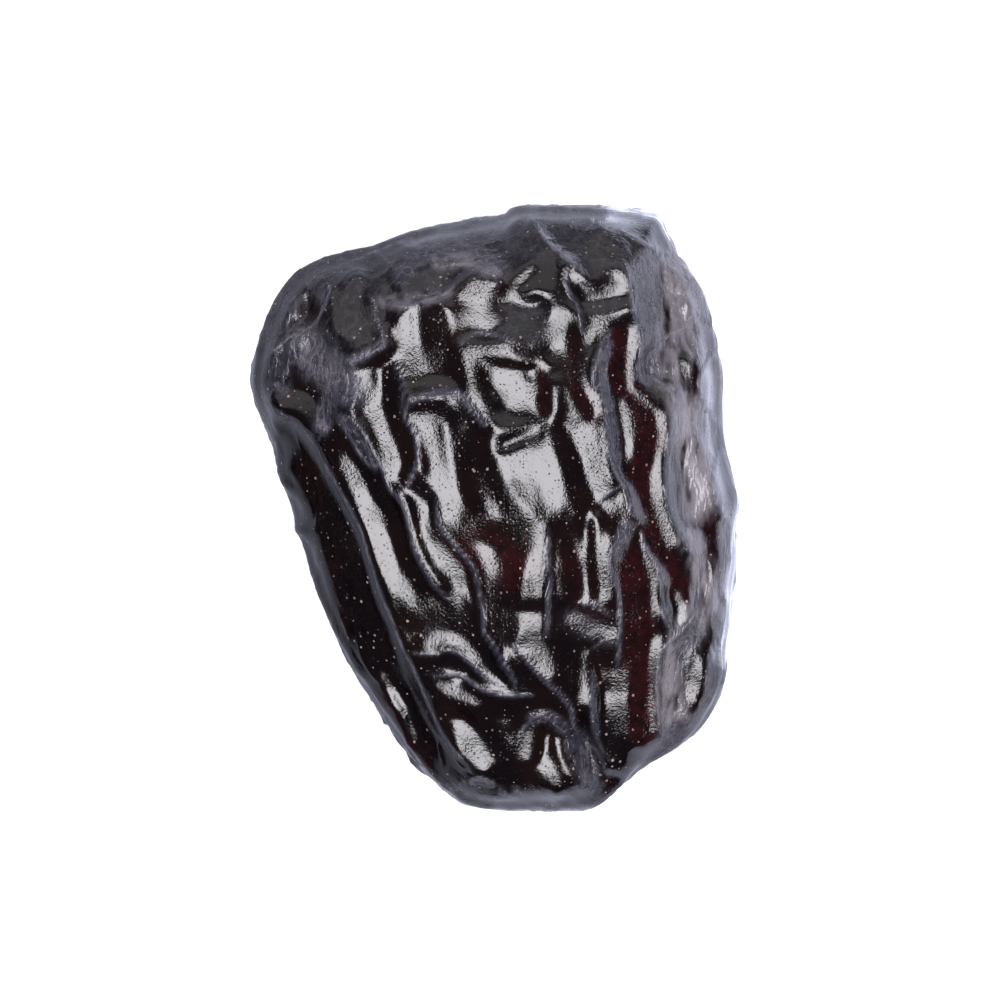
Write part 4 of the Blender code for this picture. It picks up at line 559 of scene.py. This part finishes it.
def side_folds(x, y, z):
    """Folds that run from end to end round the sides and the underside, with short ones across."""
    rng = np.random.default_rng(SEED)
    from_axis = x - AXIS_X - AXIS_LEAN * y
    radius = np.hypot(from_axis, z - MID_HEIGHT)
    round_angle = np.arctan2(from_axis, MID_HEIGHT - z)
    total = np.zeros(x.shape)
    places = np.radians(np.linspace(LONG_FOLD_FROM, LONG_FOLD_TO, LONG_FOLDS))
    for place in places + rng.uniform(-LONG_FOLD_SHIFT, LONG_FOLD_SHIFT, LONG_FOLDS):
        sway = np.radians(rng.uniform(*LONG_FOLD_SWAY, 2))
        phase = rng.uniform(0, 2 * np.pi, 2)
        line = place + sway[0] * np.sin(y / SWAY_LENGTH + phase[0])
        line = line + sway[1] / 2 * np.sin(y / SMALL_SWAY_LENGTH + phase[1])
        swell = np.sin(y / SWELL_LENGTH + phase.sum())
        rise = rng.uniform(*LONG_FOLD_HEIGHT) * (1 - LONG_FOLD_SWELL + LONG_FOLD_SWELL * swell)
        start, end = rng.uniform(*LONG_FOLD_STARTS), rng.uniform(*LONG_FOLD_STOPS)
        rise = rise * smoothstep(start - LONG_FOLD_FADE_OUT, start + LONG_FOLD_FADE_IN, y)
        rise = rise * smoothstep(end + LONG_FOLD_FADE_OUT, end - LONG_FOLD_FADE_IN, y)
        profile = fold_profile(radius * (round_angle - line), rng.uniform(*LONG_FOLD_WIDTH))
        total += (rise * profile) ** FOLD_BLEND
    for _ in range(CROSS_FOLDS):
        place = np.radians(rng.uniform(LONG_FOLD_FROM, LONG_FOLD_TO))
        along = rng.uniform(-CROSS_FOLD_WITHIN, CROSS_FOLD_WITHIN)
        turn, half = rng.uniform(*CROSS_FOLD_TURN), rng.uniform(*CROSS_FOLD_LENGTH) / 2
        u = radius * (round_angle - place)
        v = y - along
        t = np.clip(u * np.sin(turn) + v * np.cos(turn), -half, half)
        distance = np.hypot(u - t * np.sin(turn), v - t * np.cos(turn))
        total += (rng.uniform(*CROSS_FOLD_HEIGHT) * fold_profile(distance, CROSS_FOLD_WIDTH)) ** FOLD_BLEND
    return (total ** (1 / FOLD_BLEND) - SIDE_SINK) * smoothstep(*ENDS_CALM, radius)


def is_level(edge):
    return math.isclose(edge.verts[0].co.z, edge.verts[1].co.z, abs_tol=1e-4)


def rounded_box():
    """A low box split into cells, with the places of its corners as directions.

    The cells are small on its upper face and larger on its lower face.
    """
    mesh = bmesh.new()
    bmesh.ops.create_cube(mesh, size=2)
    upright = [edge for edge in mesh.edges if not is_level(edge)]
    bmesh.ops.subdivide_edges(mesh, edges=upright, cuts=SIDE_CELLS - 1)
    level = [edge for edge in mesh.edges if is_level(edge)]
    bmesh.ops.subdivide_edges(mesh, edges=level, cuts=FACE_CELLS - 1, use_grid_fill=True)
    low = [v for v in mesh.verts if v.co.z < -FACE_REACH]
    inside = [v for v in low if max(abs(v.co.x), abs(v.co.y)) < FACE_REACH]
    bmesh.ops.unsubdivide(mesh, verts=inside, iterations=MERGES_BELOW)
    directions = np.tan(np.array([v.co for v in mesh.verts]) * math.pi / 4)
    directions[:, 2] *= BOX_HEIGHT
    return mesh, directions / np.linalg.norm(directions, axis=1)[:, None]


def place(mesh, x, y, z):
    """Moves the mesh's points to these places and gives the way that each then faces."""
    for vertex, point in zip(mesh.verts, zip(x, y, z)):
        vertex.co = Vector(point)
    mesh.normal_update()
    return np.array([v.normal for v in mesh.verts])


def unevenness(points, rate, shift=0):
    """A soft random field over the skin, drawn out along the fruit."""
    across, along = rate
    places = [Vector((p.x * across, p.y * along, p.z * across + shift)) for p in points]
    return np.array([noise.noise(place) for place in places])


def fine_wrinkles(mesh, x, y, z, loose):
    """Small unevenness of the skin between the folds, with creases where it is loose."""
    normal = place(mesh, x, y, z)
    points = [Vector(p) for p in zip(x, y, z)]
    lines = unevenness(points, CREASE_RATE, CREASE_SHIFT)
    crease = np.clip(1 - abs(lines) / CREASE_LINE, 0, 1) ** CREASE_SHARPNESS * loose
    out = SLOW_WRINKLE * unevenness(points, SLOW_RATE) + QUICK_WRINKLE * unevenness(points, QUICK_RATE)
    out = (out + CREASE_HEIGHT * crease) * smoothstep(*WRINKLED_FROM, z)
    return x + out * normal[:, 0], y + out * normal[:, 1], z + out * normal[:, 2]


def fruit_mesh():
    """The folded skin in metres, how far its middle was moved to the axis, and its marks."""
    mesh, direction = rounded_box()
    angle = np.arctan2(direction[:, 1], direction[:, 0])
    share = np.hypot(direction[:, 0], direction[:, 1]) ** (2 / ROUNDNESS)
    x = share * rim_radius(angle) * np.cos(angle)
    y = share * rim_radius(angle) * np.sin(angle)
    upper = direction[:, 2] > 0
    z = np.where(upper, body_height(x, y, True), body_height(x, y, False))
    normal = place(mesh, x, y, z)

    side = np.where(upper, smoothstep(*RIM, reach(x, y)), 1)
    out = side_folds(x, y, z)
    from_widest = abs(z - MID_HEIGHT)
    crest_share = CALM_CREST + (1 - CALM_CREST) * smoothstep(0, CREST_BACK, from_widest)
    hollow_share = CALM_HOLLOW + (1 - CALM_HOLLOW) * smoothstep(0, HOLLOW_BACK, from_widest)
    out = side * out * np.where(out > 0, crest_share, hollow_share)
    lift = np.where(upper, (1 - side) * sample(*upper_skin(), x, y), 0)
    loose = np.where(upper, smoothstep(*LOOSE_RIM, reach(x, y)), 1 + LOOSER_BELOW * hollow_share)
    # The crest and bloom marks carry a painted lavender sheen as well as a dull finish, and the pale mark a
    # painted reflection of the studio as well as a thick bloom
    marks = {
        "crest": np.where(upper, crest_lines(x, y), smoothstep(*SIDE_CREST, out)),
        "red": np.where(upper, drawn_lines(x, y, RED_LINES), 0),
        "bloom_and_sheen": np.where(upper, drawn_lines(x, y, BLOOM_AND_SHEEN_LINES), SIDE_BLOOM_AND_SHEEN * hollow_share),
        "pale_bloom_and_reflection": np.where(upper, drawn_lines(x, y, PALE_BLOOM_AND_REFLECTION_LINES), 0),
    }
    x, y, z = x + out * normal[:, 0], y + out * normal[:, 1], z + out * normal[:, 2] + lift

    rest = MID_HEIGHT - LOWER_THICKNESS[0] + REST_DEPTH
    z = np.maximum(z, rest) - rest
    middle = (x.max() + x.min()) / 2, (y.max() + y.min()) / 2
    x, y, z = fine_wrinkles(mesh, x - middle[0], y - middle[1], z, loose)
    place(mesh, x * MM, y * MM, z * MM)
    return mesh, middle, marks


# Colours of the skin
DARK_SKIN = (0.0016, 0.0008, 0.0012, 1)
BROWN_SKIN = (0.0035, 0.0014, 0.0014, 1)
RED_SKIN = (0.010, 0.0015, 0.0020, 1)
SCAR = (0.045, 0.018, 0.010, 1)
DUST = (0.15, 0.11, 0.095, 1)
# Lavender of a thin waxy bloom, which also serves as painted sheen: the light that steep skin and crests
# catch
BLOOM_AND_SHEEN_COLOUR = (0.028, 0.028, 0.042, 1)
# Pale lavender of a thick bloom, painted mostly as a reflection: the bright studio seen in steep skin, and
# highlights along creases
PALE_BLOOM_AND_REFLECTION_COLOUR = (0.175, 0.158, 0.178, 1)
# Where the flesh shows through: width, strength and a line over the plan, in mm
RED_LINES = (
    (1.3, 1.0, ((6.3, -2.3), (6.8, -5), (7.0, -9), (7.3, -11))),
    (1.0, 0.9, ((5.9, 8.5), (5.9, 6.8), (6.9, 5.1), (7.5, 3.5), (7.1, 2.5), (7, 1), (7.5, -1), (8.1, -2.5),
         (8.9, -3.8))),
    (0.8, 0.5, ((3.7, 8), (3.7, 6.2), (4.5, 5))),
    (2.0, 1.0, ((-0.8, -1.8), (0.7, -2.6))),
    (1.4, 0.5, ((3.3, -3.0), (4.9, -4.6))),
    (1.2, 1.0, ((10.4, -0.5), (10.8, -1.6), (10.4, -3.6))),
    (1.8, 0.8, ((10.6, -9.8), (8.9, -12.2))),
    (0.8, 0.5, ((-7.6, -7.6), (-4.0, -12.8))),
    (0.8, 0.4, ((2.0, 6.8), (2.3, 5.0))),
)
# Where a thin waxy bloom dulls the skin and a lavender sheen is painted into its colour, in the same way
BLOOM_AND_SHEEN_LINES = (
    (1.5, 0.8, ((-9.9, 8.3), (-9.0, 7.4), (-8.0, 6.5), (-7.6, 6.0))),
    (0.7, 0.7, ((-8.4, 5.9), (-8.9, 4.2))),
    (0.9, 0.8, ((7.3, 12.4), (7.3, 10), (7.4, 7.0))),
    (0.6, 0.7, ((6.3, -0.9), (5.7, -2.2))),
    (0.9, 0.6, ((3.9, -11.6), (4.5, -13.6))),
    (0.5, 0.5, ((1.6, -10.4), (2.4, -10.3), (3.3, -11.0))),
    (1.2, 0.45, ((-11.2, 9.0), (-9.8, 11.4), (-7.6, 12.7))),
    (0.8, 0.5, ((-11.0, 7.8), (-10.9, 6.2))),
    (0.8, 0.5, ((-4.8, 11.6), (-3.6, 12.8), (-1.4, 12.6), (0.0, 11.9))),
    (0.5, 0.6, ((5.3, 8.2), (4.9, 6.9), (5.5, 4.6), (5.7, 2.4))),
    (0.9, 0.7, ((8.5, -8.6), (8.9, -7.2), (9.8, -6.0))),
    (0.8, 0.7, ((8.3, -11.3), (9.0, -10.3))),
    (0.2, 0.7, ((4.65, -8.5), (4.7, -9.8), (4.85, -11.2))),
    (0.35, 0.7, ((-4.5, 5.4), (-3.5, 5.75), (-2.2, 5.75), (-1.5, 5.2), (-0.7, 4.4))),
    (0.4, 1.0, ((-7.4, 7.4), (-6.5, 7.8), (-5.8, 8.3))),
    (0.4, 0.8, ((-7.9, 4.5), (-6.9, 3.4), (-6.2, 2.3))),
    (2.2, 0.16, ((-7.4, 9.0), (-7.0, 11.2), (-4.4, 11.6), (-1, 13.2), (3.2, 13.8), (5.4, 13.0))),
    (1.6, 0.15, ((0.7, 9.6), (1.6, 9.2))),
    (0.9, 0.15, ((4.8, 10.2), (5.6, 10.1))),
    (0.9, 0.2, ((3.6, -5.4), (5.3, -6.2))),
)
# Where that bloom is thick and painted pale, which stands in mostly for the reflection of the bright studio
# in steep skin
PALE_BLOOM_AND_REFLECTION_LINES = (
    (1.7, 0.45, ((8.7, 12), (9.0, 9), (8.9, 6.5))),
    (1.3, 0.7, ((9.2, 5.4), (9.5, 3.4), (9.8, 1.2), (9.8, 0.2))),
    (0.9, 0.6, ((9.4, -1.5), (10.1, -3.0), (10.2, -4.8))),
    (1.3, 0.14, ((-9.6, 8.6), (-8.7, 7.4), (-7.9, 6.4))),
    (0.6, 0.3, ((-5.7, 10.4), (-4.8, 10.3), (-3.5, 10.6), (-2.6, 11.0))),
    (0.6, 0.35, ((-3.1, 12.3), (-2.3, 12.4), (-1.2, 12.3), (-0.4, 11.8))),
    (1.0, 0.6, ((9.8, -5.2), (8.9, -6.6), (8.5, -8.4), (8.6, -10.2))),
)
# Small scars: x, y, z, radius and softness of the edge, in mm
SCAR_AT = (
    (-12.0, 6.0, 9.5, 0.6, 0.5),
    (11.2, -2.2, 10.0, 0.6, 0.5),
)
# Clouds that break up the skin: size in mm, detail and roughness, and the values between which each comes in
GRAIN = (0.45, 1.0)
GRAIN_RED, GRAIN_SCAR = (0.2, 0.6), (0.35, 0.6)
BROWN_CLOUD, BROWN_FADE = (3.0,), (0.35, 0.7)
RED_CLOUD, RED_FADE, RED_LEAST = (1.8, 2.0), (0.3, 0.6), 0.3
BLOOM_AND_SHEEN_CLOUD, BLOOM_AND_SHEEN_FADE = (0.5, 3.0, 0.7), (0.25, 0.55)
PEBBLE_PATCH, PEBBLE_FADE = (2.2,), (0.45, 0.7)
# Streaks along the fruit: size in mm, and the share of their pace that they keep along it
PALE_STREAKS, PALE_FADE = (0.8, 0.3), (0.3, 0.65)
CREASES, CREASE_SHARE = (0.6, 0.35), 0.07
# How much of the skin's colour is covered by the bloom and its painted sheen, by the thick bloom and its
# painted reflection, and by the painted highlights along the creases
BLOOM_AND_SHEEN_COVER, PALE_COVER, CREASE_COVER = 0.8, 0.9, 0.3
DUST_SPACING = 0.33
DUST_SIZE, DUST_TRIM = 0.30, 0.06  # the largest speck, and what is taken off each, in spacings
# Roughness of the clean skin, and what grain, bloom and dust add
GLOSS, GRAIN_DULLS, BLOOM_DULLS, DUST_DULLS = 0.12, 0.10, 0.34, 0.4
SKIN_IOR = 1.5
PEBBLE = (0.14, 2.0, 0.6)
PEBBLE_DEPTH = 0.022
PEBBLES, MORE_PEBBLES = 0.7, 1.6  # how deep the pebbles are, and how much deeper in patches
# The depths from here on are in that of the pebbles
PIT_SPACING, PIT_WIDTH, PIT_DEPTH = 0.16, 0.36, 2.4  # the width in spacings
PIT_SHARE = 0.45  # the other spots are small bumps
PITS, MORE_PITS = 0.5, 0.5  # how deep the pits are, and how much deeper in patches
DUST_DEPTH = 0.5
STEEP_RELIEF, LEVEL_RELIEF = 0.4, 0.6  # of all these on steep skin, and what is added on level skin
WRINKLE, WRINKLE_DEPTH = (0.45, 3.0, 0.6), 4.0
CREASE_DEPTH = 2.0


class Shade:
    """A material's nodes, with its values written in plain maths."""

    def __init__(self, name):
        self.material = bpy.data.materials.new(name)
        self.material.use_nodes = True
        self.tree = self.material.node_tree
        self.surface = self.tree.nodes["Principled BSDF"]

    def node(self, kind, settings=None, output=0, **sockets):
        """A node of this kind: its settings first, then the values and links of its sockets."""
        node = self.tree.nodes.new("ShaderNode" + kind)
        for key, value in (settings or {}).items():
            setattr(node, key, value)
        for key, value in sockets.items():
            socket = node.inputs[int(key[1:]) if key[0] == "_" else key.replace("_", " ")]
            self.feed(socket, value)
        return Value(self, node.outputs[output])

    def feed(self, socket, value):
        if isinstance(value, Value):
            self.tree.links.new(value.socket, socket)
        else:
            socket.default_value = value

    def set(self, name, value):
        self.feed(self.surface.inputs[name], value)

    def mix_colour(self, factor, a, b):
        return self.node("Mix", {"data_type": "RGBA"}, output=2, _0=factor, _6=a, _7=b)


class Value:
    """A value in a material that takes part in sums."""

    def __init__(self, shade, socket):
        self.shade, self.socket = shade, socket

    def output(self, index):
        """Another output of the same node."""
        return Value(self.shade, self.socket.node.outputs[index])

    def maths(self, operation, a, b=0.0):
        return self.shade.node("Math", {"operation": operation}, _0=a, _1=b)

    def __add__(self, other):
        return self.maths("ADD", self, other)

    def __radd__(self, other):
        return self.maths("ADD", other, self)

    def __sub__(self, other):
        return self.maths("SUBTRACT", self, other)

    def __rsub__(self, other):
        return self.maths("SUBTRACT", other, self)

    def __mul__(self, other):
        return self.maths("MULTIPLY", self, other)

    def __rmul__(self, other):
        return self.maths("MULTIPLY", other, self)

    def __truediv__(self, other):
        return self.maths("DIVIDE", self, other)

    def __lt__(self, other):
        return self.maths("LESS_THAN", self, other)

    def most(self, other):
        return self.maths("MAXIMUM", self, other)

    def size(self):
        return self.maths("ABSOLUTE", self)

    def rising(self, low, high):
        """0 below the low value, 1 above the high one, with a soft change between."""
        settings = {"interpolation_type": "SMOOTHSTEP"}
        return self.shade.node("MapRange", settings, _0=self, _1=low, _2=high)


class Skin(Shade):
    """The fruit's skin, with places and sizes in mm."""

    def __init__(self, shift):
        super().__init__("date_skin")
        self.shift = shift
        self.place = self.node("TexCoord", output=3)

    def cloud(self, size, detail=1.0, rough=0.5, place=None):
        place = place or self.place
        return self.node("TexNoise", Vector=place, Scale=1 / (size * MM), Detail=detail, Roughness=rough)

    def streaks(self, size, stretch):
        """A cloud drawn out along the fruit."""
        pulled = self.node("VectorMath", {"operation": "MULTIPLY"}, _0=self.place, _1=(1, stretch, 1))
        return self.cloud(size, 2.0, 0.6, pulled)

    def scattered(self, spacing):
        """How far the nearest of many scattered spots is, and two random numbers of its own."""
        away = self.node("TexVoronoi", Vector=self.place, Scale=1 / (spacing * MM), Randomness=1.0)
        chance = self.node("SeparateColor", _0=away.output(1))
        return away, chance, chance.output(1)

    def patch(self, x, y, z, radius, soft):
        """A soft round patch of skin."""
        centre = ((x - self.shift[0]) * MM, (y - self.shift[1]) * MM, z * MM)
        away = self.node("VectorMath", {"operation": "DISTANCE"}, output=1, _0=self.place, _1=centre)
        return 1 - away.rising((radius - soft) * MM, (radius + soft) * MM)

    def patches(self, places):
        found = self.patch(*places[0])
        for place in places[1:]:
            found = found.most(self.patch(*place))
        return found

    def mark(self, name):
        """A value that the mesh holds at each of its points."""
        return self.node("Attribute", {"attribute_name": name}, output=2)

    def facing_up(self):
        return self.node("SeparateXYZ", output=2, _0=self.node("NewGeometry", output=3))


def bare_colour(skin, grain):
    """Dark skin with browner patches, red flesh that shows through in the troughs, and the scars."""
    colour = skin.mix_colour(skin.cloud(*BROWN_CLOUD).rising(*BROWN_FADE), DARK_SKIN, BROWN_SKIN)
    shows = skin.cloud(*RED_CLOUD).rising(*RED_FADE) * (1 - RED_LEAST) + RED_LEAST
    colour = skin.mix_colour(skin.mark("red") * grain.rising(*GRAIN_RED) * shows, colour, RED_SKIN)
    return skin.mix_colour(skin.patches(SCAR_AT) * grain.rising(*GRAIN_SCAR), colour, SCAR)


def pebbled(skin, dust):
    """Pebbles, specks and pits, which show most where the skin is level."""
    away, chance, _ = skin.scattered(PIT_SPACING)
    pit = (1 - away.rising(0.0, PIT_WIDTH)) * (chance - PIT_SHARE) * PIT_DEPTH
    patch = skin.cloud(*PEBBLE_PATCH).rising(*PEBBLE_FADE)
    pebbles = skin.cloud(*PEBBLE) * (patch * MORE_PEBBLES + PEBBLES)
    level = skin.facing_up()
    share = level * level * LEVEL_RELIEF + STEEP_RELIEF
    return (pebbles + dust * DUST_DEPTH + pit * (patch * MORE_PITS + PITS)) * share


def skin_finish(shift):
    skin = Skin(shift)
    grain = skin.cloud(*GRAIN)
    bloom_and_sheen = skin.mark("bloom_and_sheen") * skin.cloud(*BLOOM_AND_SHEEN_CLOUD).rising(*BLOOM_AND_SHEEN_FADE)
    pale_bloom_and_reflection = skin.mark("pale_bloom_and_reflection") * skin.streaks(*PALE_STREAKS).rising(*PALE_FADE)
    # The dull lines also carry the painted sheen: crests, bloom and thick bloom all take the lavender and
    # pale colours below
    dull_and_sheen = bloom_and_sheen.most(skin.mark("crest")).most(pale_bloom_and_reflection)
    # Thin lines along the fruit, painted pale as highlights along the creases and raised as creases in the
    # relief
    creases = (1 - (skin.streaks(*CREASES) - 0.5).size() / CREASE_SHARE).most(0.0)
    away, size, paleness = skin.scattered(DUST_SPACING)
    dust = away < (size * DUST_SIZE - DUST_TRIM)

    # Painted sheen and reflection: the lavender and pale colours stand in for light that steep skin, crests
    # and creases catch, on top of a real waxy bloom
    colour = skin.mix_colour(dull_and_sheen * BLOOM_AND_SHEEN_COVER, bare_colour(skin, grain), BLOOM_AND_SHEEN_COLOUR)
    colour = skin.mix_colour(pale_bloom_and_reflection * PALE_COVER, colour, PALE_BLOOM_AND_REFLECTION_COLOUR)
    colour = skin.mix_colour(dull_and_sheen * creases * CREASE_COVER, colour, PALE_BLOOM_AND_REFLECTION_COLOUR)
    skin.set("Base Color", skin.mix_colour(dust * paleness, colour, DUST))
    skin.set("Roughness", grain * GRAIN_DULLS + (dust * DUST_DULLS + (dull_and_sheen * BLOOM_DULLS + GLOSS)))
    skin.set("IOR", SKIN_IOR)

    wrinkled = dull_and_sheen * (skin.cloud(*WRINKLE) * WRINKLE_DEPTH + creases * CREASE_DEPTH)
    relief = pebbled(skin, dust) + wrinkled
    skin.set("Normal", skin.node("Bump", _0=1.0, _1=PEBBLE_DEPTH * MM, Height=relief))
    return skin.material


def dressed_fruit():
    mesh, shift, marks = fruit_mesh()
    data = bpy.data.meshes.new("date_skin_folds")
    mesh.to_mesh(data)
    mesh.free()
    for name, values in marks.items():
        data.attributes.new(name, "FLOAT", "POINT").data.foreach_set("value", values)
    data.polygons.foreach_set("use_smooth", [True] * len(data.polygons))
    data.materials.append(skin_finish(shift))
    fruit = bpy.data.objects.new("whole_date", data)
    bpy.context.scene.collection.objects.link(fruit)
    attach(fruit, "root")
    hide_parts(NODE)
    return shift


def matt_shade(name, colour, roughness, gloss):
    shade = Shade(name)
    shade.set("Base Color", colour)
    shade.set("Roughness", roughness)
    shade.set("Specular IOR Level", gloss)
    return shade


# The studio, in metres
FLOOR_WIDTH = 4.0
FLOOR_COLOUR = (0.8, 0.8, 0.81, 1)
SURROUND, SURROUND_SEEN = (0.05, 0.05, 0.055, 1), (1.0, 1.0, 1.0, 1)
CARD_COLOUR = (0.84, 0.87, 1.10, 1)
CARD_LIFT = 0.2  # mm above the floor
# Sheets round the fruit: corners in mm and how brightly they glow
CARDS = (
    ("card_left", (-36, -36), (-6, 36), 0.5),
    ("card_near", (-6, -36), (36, -8), 0.9),
    ("card_right", (6, -8), (600, 36), 2.6),
    ("card_far", (-6, 8), (6, 36), 0.75),
    ("card_left_dark", (-600, -600), (-36, 600), 0.0),
    ("card_near_dark", (-36, -600), (600, -36), 0.0),
    ("card_far_dark", (-36, 36), (600, 600), 0.3),
)
# The soft box is made of sheets of growing width, each with its share of the light, so that its edge is soft.
SOFTBOX_AT = (0.02, -0.05, 0.60)
SOFTBOX_SHEETS = ((0.36, 0.35), (0.43, 0.35), (0.50, 0.3))
SOFTBOX_STEP, SOFTBOX_LONGER = 0.001, 0.12
SOFTBOX_GLOW = 14.5
SOFTBOX_COLOUR = (0.97, 0.955, 1.0)
# These two: place, aim, width, length and glow
BACK_CARD = ((0.0, 0.55, 0.20), (0, 0, 0.0), 1.2, 0.5, 0.9)
FILL = ((0, 0, 1.6), (0, 0, 0), 3.0, 3.0, 0.75)
EYE_HEIGHT = 1.0  # over the fruit's widest line
VIEW_WIDTH = 0.050
VIEW_MIDDLE = (0, 0.5)  # in mm on the plan
SENSOR = 36.0  # in mm


def flat_piece(name, corners, material):
    """A four-sided sheet with these corners in metres."""
    data = bpy.data.meshes.new(name)
    mesh = bmesh.new()
    mesh.faces.new([mesh.verts.new(corner) for corner in corners])
    mesh.to_mesh(data)
    mesh.free()
    data.materials.append(material)
    piece = bpy.data.objects.new(name, data)
    bpy.context.scene.collection.objects.link(piece)
    return piece


def floor():
    half = FLOOR_WIDTH / 2
    corners = [(-half, -half, 0), (half, -half, 0), (half, half, 0), (-half, half, 0)]
    flat_piece("floor", corners, matt_shade("pale_floor", FLOOR_COLOUR, 0.9, 0.1).material)


def card(name, low, high, glow):
    """A sheet on the floor, between these two corners, that only the gloss of the skin shows."""
    corners = [(low[0], low[1]), (high[0], low[1]), (high[0], high[1]), (low[0], high[1])]
    shade = matt_shade(name, (0.0, 0.0, 0.0, 1), 1.0, 0.0)
    shade.set("Emission Color", CARD_COLOUR)
    shade.set("Emission Strength", glow)
    piece = flat_piece(name, [(x * MM, y * MM, CARD_LIFT * MM) for x, y in corners], shade.material)
    piece.visible_camera = False
    piece.visible_diffuse = False
    piece.visible_shadow = False


def area_light(name, place, aim, width, length, glow, colour=(1, 1, 1)):
    light = bpy.data.lights.new(name, "AREA")
    light.shape = "RECTANGLE"
    light.size, light.size_y = width, length
    light.energy = glow * math.pi * width * length
    light.color = colour
    lamp = bpy.data.objects.new(name, light)
    lamp.location = place
    lamp.visible_camera = False
    lamp.rotation_euler = (Vector(aim) - Vector(place)).to_track_quat("-Z", "Y").to_euler()
    bpy.context.scene.collection.objects.link(lamp)
    return lamp


def softbox():
    x, y, z = SOFTBOX_AT
    for step, (width, share) in enumerate(SOFTBOX_SHEETS):
        place, aim = (x, y, z + SOFTBOX_STEP * step), (x, y, 0)
        glow = SOFTBOX_GLOW * share
        area_light(f"softbox_{step}", place, aim, width, width + SOFTBOX_LONGER, glow, SOFTBOX_COLOUR)


def surround():
    """Dim light from all round, and plain white where the camera sees it."""
    world = bpy.data.worlds.new("studio")
    bpy.context.scene.world = world
    world.use_nodes = True
    tree = world.node_tree
    background = tree.nodes["Background"]
    background.inputs[0].default_value = SURROUND
    seen = tree.nodes.new("ShaderNodeBackground")
    seen.inputs[0].default_value = SURROUND_SEEN
    path = tree.nodes.new("ShaderNodeLightPath")
    mix = tree.nodes.new("ShaderNodeMixShader")
    tree.links.new(path.outputs["Is Camera Ray"], mix.inputs[0])
    tree.links.new(background.outputs[0], mix.inputs[1])
    tree.links.new(seen.outputs[0], mix.inputs[2])
    tree.links.new(mix.outputs[0], tree.nodes["World Output"].inputs[0])


def studio():
    floor()
    for name, low, high, glow in CARDS:
        card(name, low, high, glow)
    softbox()
    surround()
    area_light("back_card", *BACK_CARD)
    area_light("fill", *FILL).visible_glossy = False
    view = bpy.context.scene.view_settings
    view.view_transform = "Standard"
    view.look = "None"


def camera(shift):
    """Straight above, framing as much as the photograph does."""
    lens = bpy.data.cameras.new("camera")
    lens.sensor_width = SENSOR
    lens.lens = SENSOR * EYE_HEIGHT / VIEW_WIDTH
    eye = bpy.data.objects.new("camera", lens)
    x, y = VIEW_MIDDLE
    eye.location = ((x - shift[0]) * MM, (y - shift[1]) * MM, MID_HEIGHT * MM + EYE_HEIGHT)
    bpy.context.scene.collection.objects.link(eye)
    bpy.context.scene.camera = eye


shift = dressed_fruit()
studio()
camera(shift)
